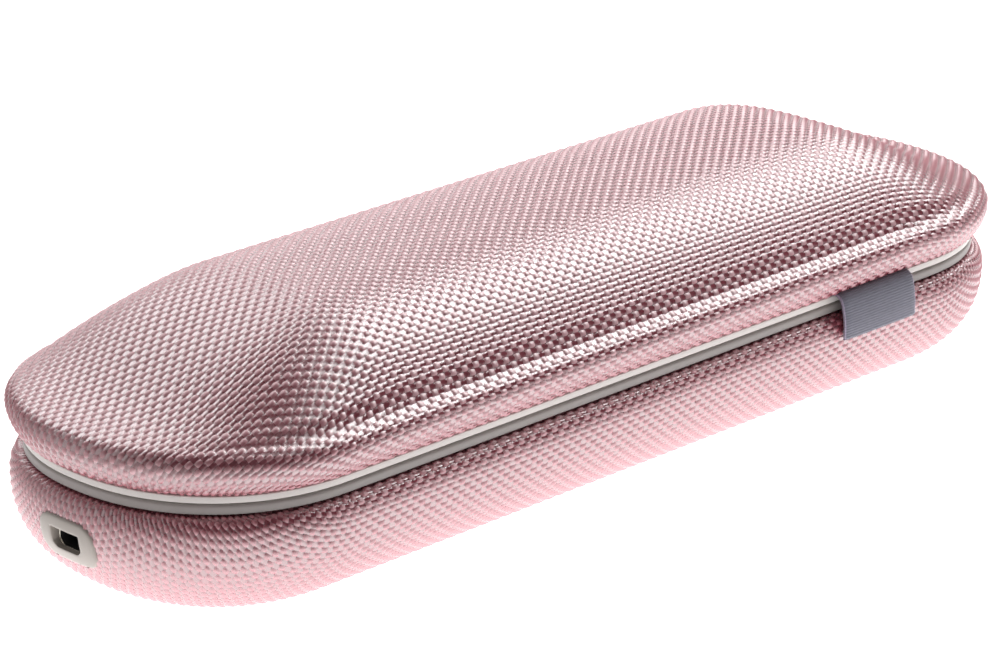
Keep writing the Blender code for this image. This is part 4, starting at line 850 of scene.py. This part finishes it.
around = add_node(tree, "VectorMath", {0: from_line}, operation="LENGTH")
near = add_node(tree, "MapRange", {"Value": around.outputs["Value"], "From Min": NEAR_GLOW_REACH[0],
                                   "From Max": NEAR_GLOW_REACH[1], "To Min": NEAR_GLOW, "To Max": 0.0},
                interpolation_type="SMOOTHSTEP")
ahead = add_node(tree, "VectorMath", {0: place.outputs["Object"], 1: AHEAD}, operation="DOT_PRODUCT")
wide = add_node(tree, "MapRange", {"Value": ahead.outputs["Value"], "From Min": WIDE_GLOW_REACH[0],
                                   "From Max": WIDE_GLOW_REACH[1], "To Min": WIDE_GLOW,
                                   "To Max": WIDE_GLOW_AHEAD}, interpolation_type="SMOOTHSTEP")
cast = add_node(tree, "Math", {0: near, 1: wide}, operation="ADD")
path = add_node(tree, "LightPath")
glow = add_node(tree, "MixRGB", {"Fac": path.outputs["Is Camera Ray"], "Color1": cast, "Color2": SEEN_WHITE})
tree.links.new(glow.outputs[0], shader.inputs["Emission Strength"])
floor_mesh.materials.append(light_table)

world = bpy.data.worlds.new("studio")
world.use_nodes = True
bpy.context.scene.world = world
tree = world.node_tree
background = tree.nodes["Background"]
way = add_node(tree, "TexCoord")
rise = add_node(tree, "SeparateXYZ", {0: way.outputs["Generated"]})
low = add_node(tree, "MapRange", {"Value": rise.outputs["Z"], "From Min": HORIZON_GLOW_REACH[0],
                                  "From Max": HORIZON_GLOW_REACH[1], "To Min": HORIZON_GLOW,
                                  "To Max": SKY_GLOW}, interpolation_type="SMOOTHSTEP")
path = add_node(tree, "LightPath")
seen = add_node(tree, "MixRGB", {"Fac": path.outputs["Is Camera Ray"], "Color1": low, "Color2": SEEN_WHITE})
tree.links.new(seen.outputs[0], background.inputs["Strength"])
background.inputs["Color"].default_value = srgb("FFFFFF")


# Lights
# One soft box stands behind the case and leaves its near slope dark. A stronger one to the right is seen
# in the cloth's gloss along the near shoulder, and fainter ones fill the far and left sides.
def soft_box(name, azimuth, elevation, distance, wide, high, radiance):
    """An area light that faces the case. Azimuth 0 is +X and 90 is +Y, in degrees, and sizes are metres."""
    lamp = bpy.data.lights.new(name, "AREA")
    lamp.shape = "RECTANGLE"
    lamp.size, lamp.size_y = wide, high
    lamp.energy = radiance * math.pi * wide * high
    holder = bpy.data.objects.new(name, lamp)
    turn, lift = math.radians(azimuth), math.radians(elevation)
    way = Vector((math.cos(lift) * math.cos(turn), math.cos(lift) * math.sin(turn), math.sin(lift)))
    holder.location = way * distance
    holder.rotation_euler = way.to_track_quat("Z", "Y").to_euler()
    bpy.context.scene.collection.objects.link(holder)


soft_box("back_box", 76, 45, 1.2, 0.9, 0.8, 3.5)
soft_box("shoulder_box", 0, 45, 1.2, 0.9, 0.4, 11.0)
soft_box("far_box", 54, 12, 1.6, 1.3, 0.8, 1.0)
soft_box("left_box", 150, 30, 1.2, 1.0, 1.0, 0.8)


# Camera
# A long lens, low over the near left end, as the case was photographed.
CAMERA_AZIMUTH, CAMERA_ELEVATION, CAMERA_ROLL = (math.radians(a) for a in (45.99, 20.53, -0.71))
CAMERA_PLACE = (-532.7, -507.6, 297.7)
CAMERA_LENS = 155.6
camera = bpy.data.cameras.new("camera")
camera.sensor_width = 36
camera.lens = CAMERA_LENS
camera.clip_start = 0.05
viewer = bpy.data.objects.new("camera", camera)
bpy.context.scene.collection.objects.link(viewer)
forward = Vector((
    math.sin(CAMERA_AZIMUTH) * math.cos(CAMERA_ELEVATION),
    math.cos(CAMERA_AZIMUTH) * math.cos(CAMERA_ELEVATION),
    -math.sin(CAMERA_ELEVATION),
))
level = forward.cross(Vector((0, 0, 1))).normalized()
down = forward.cross(level)
right = math.cos(CAMERA_ROLL) * level + math.sin(CAMERA_ROLL) * down
down = math.cos(CAMERA_ROLL) * down - math.sin(CAMERA_ROLL) * level
frame_axes = Matrix((right, -down, -forward)).transposed()
viewer.matrix_world = Matrix.Translation(Vector(CAMERA_PLACE) * MM) @ frame_axes.to_4x4()
bpy.context.scene.camera = viewer
bpy.context.scene.view_settings.view_transform = "Standard"
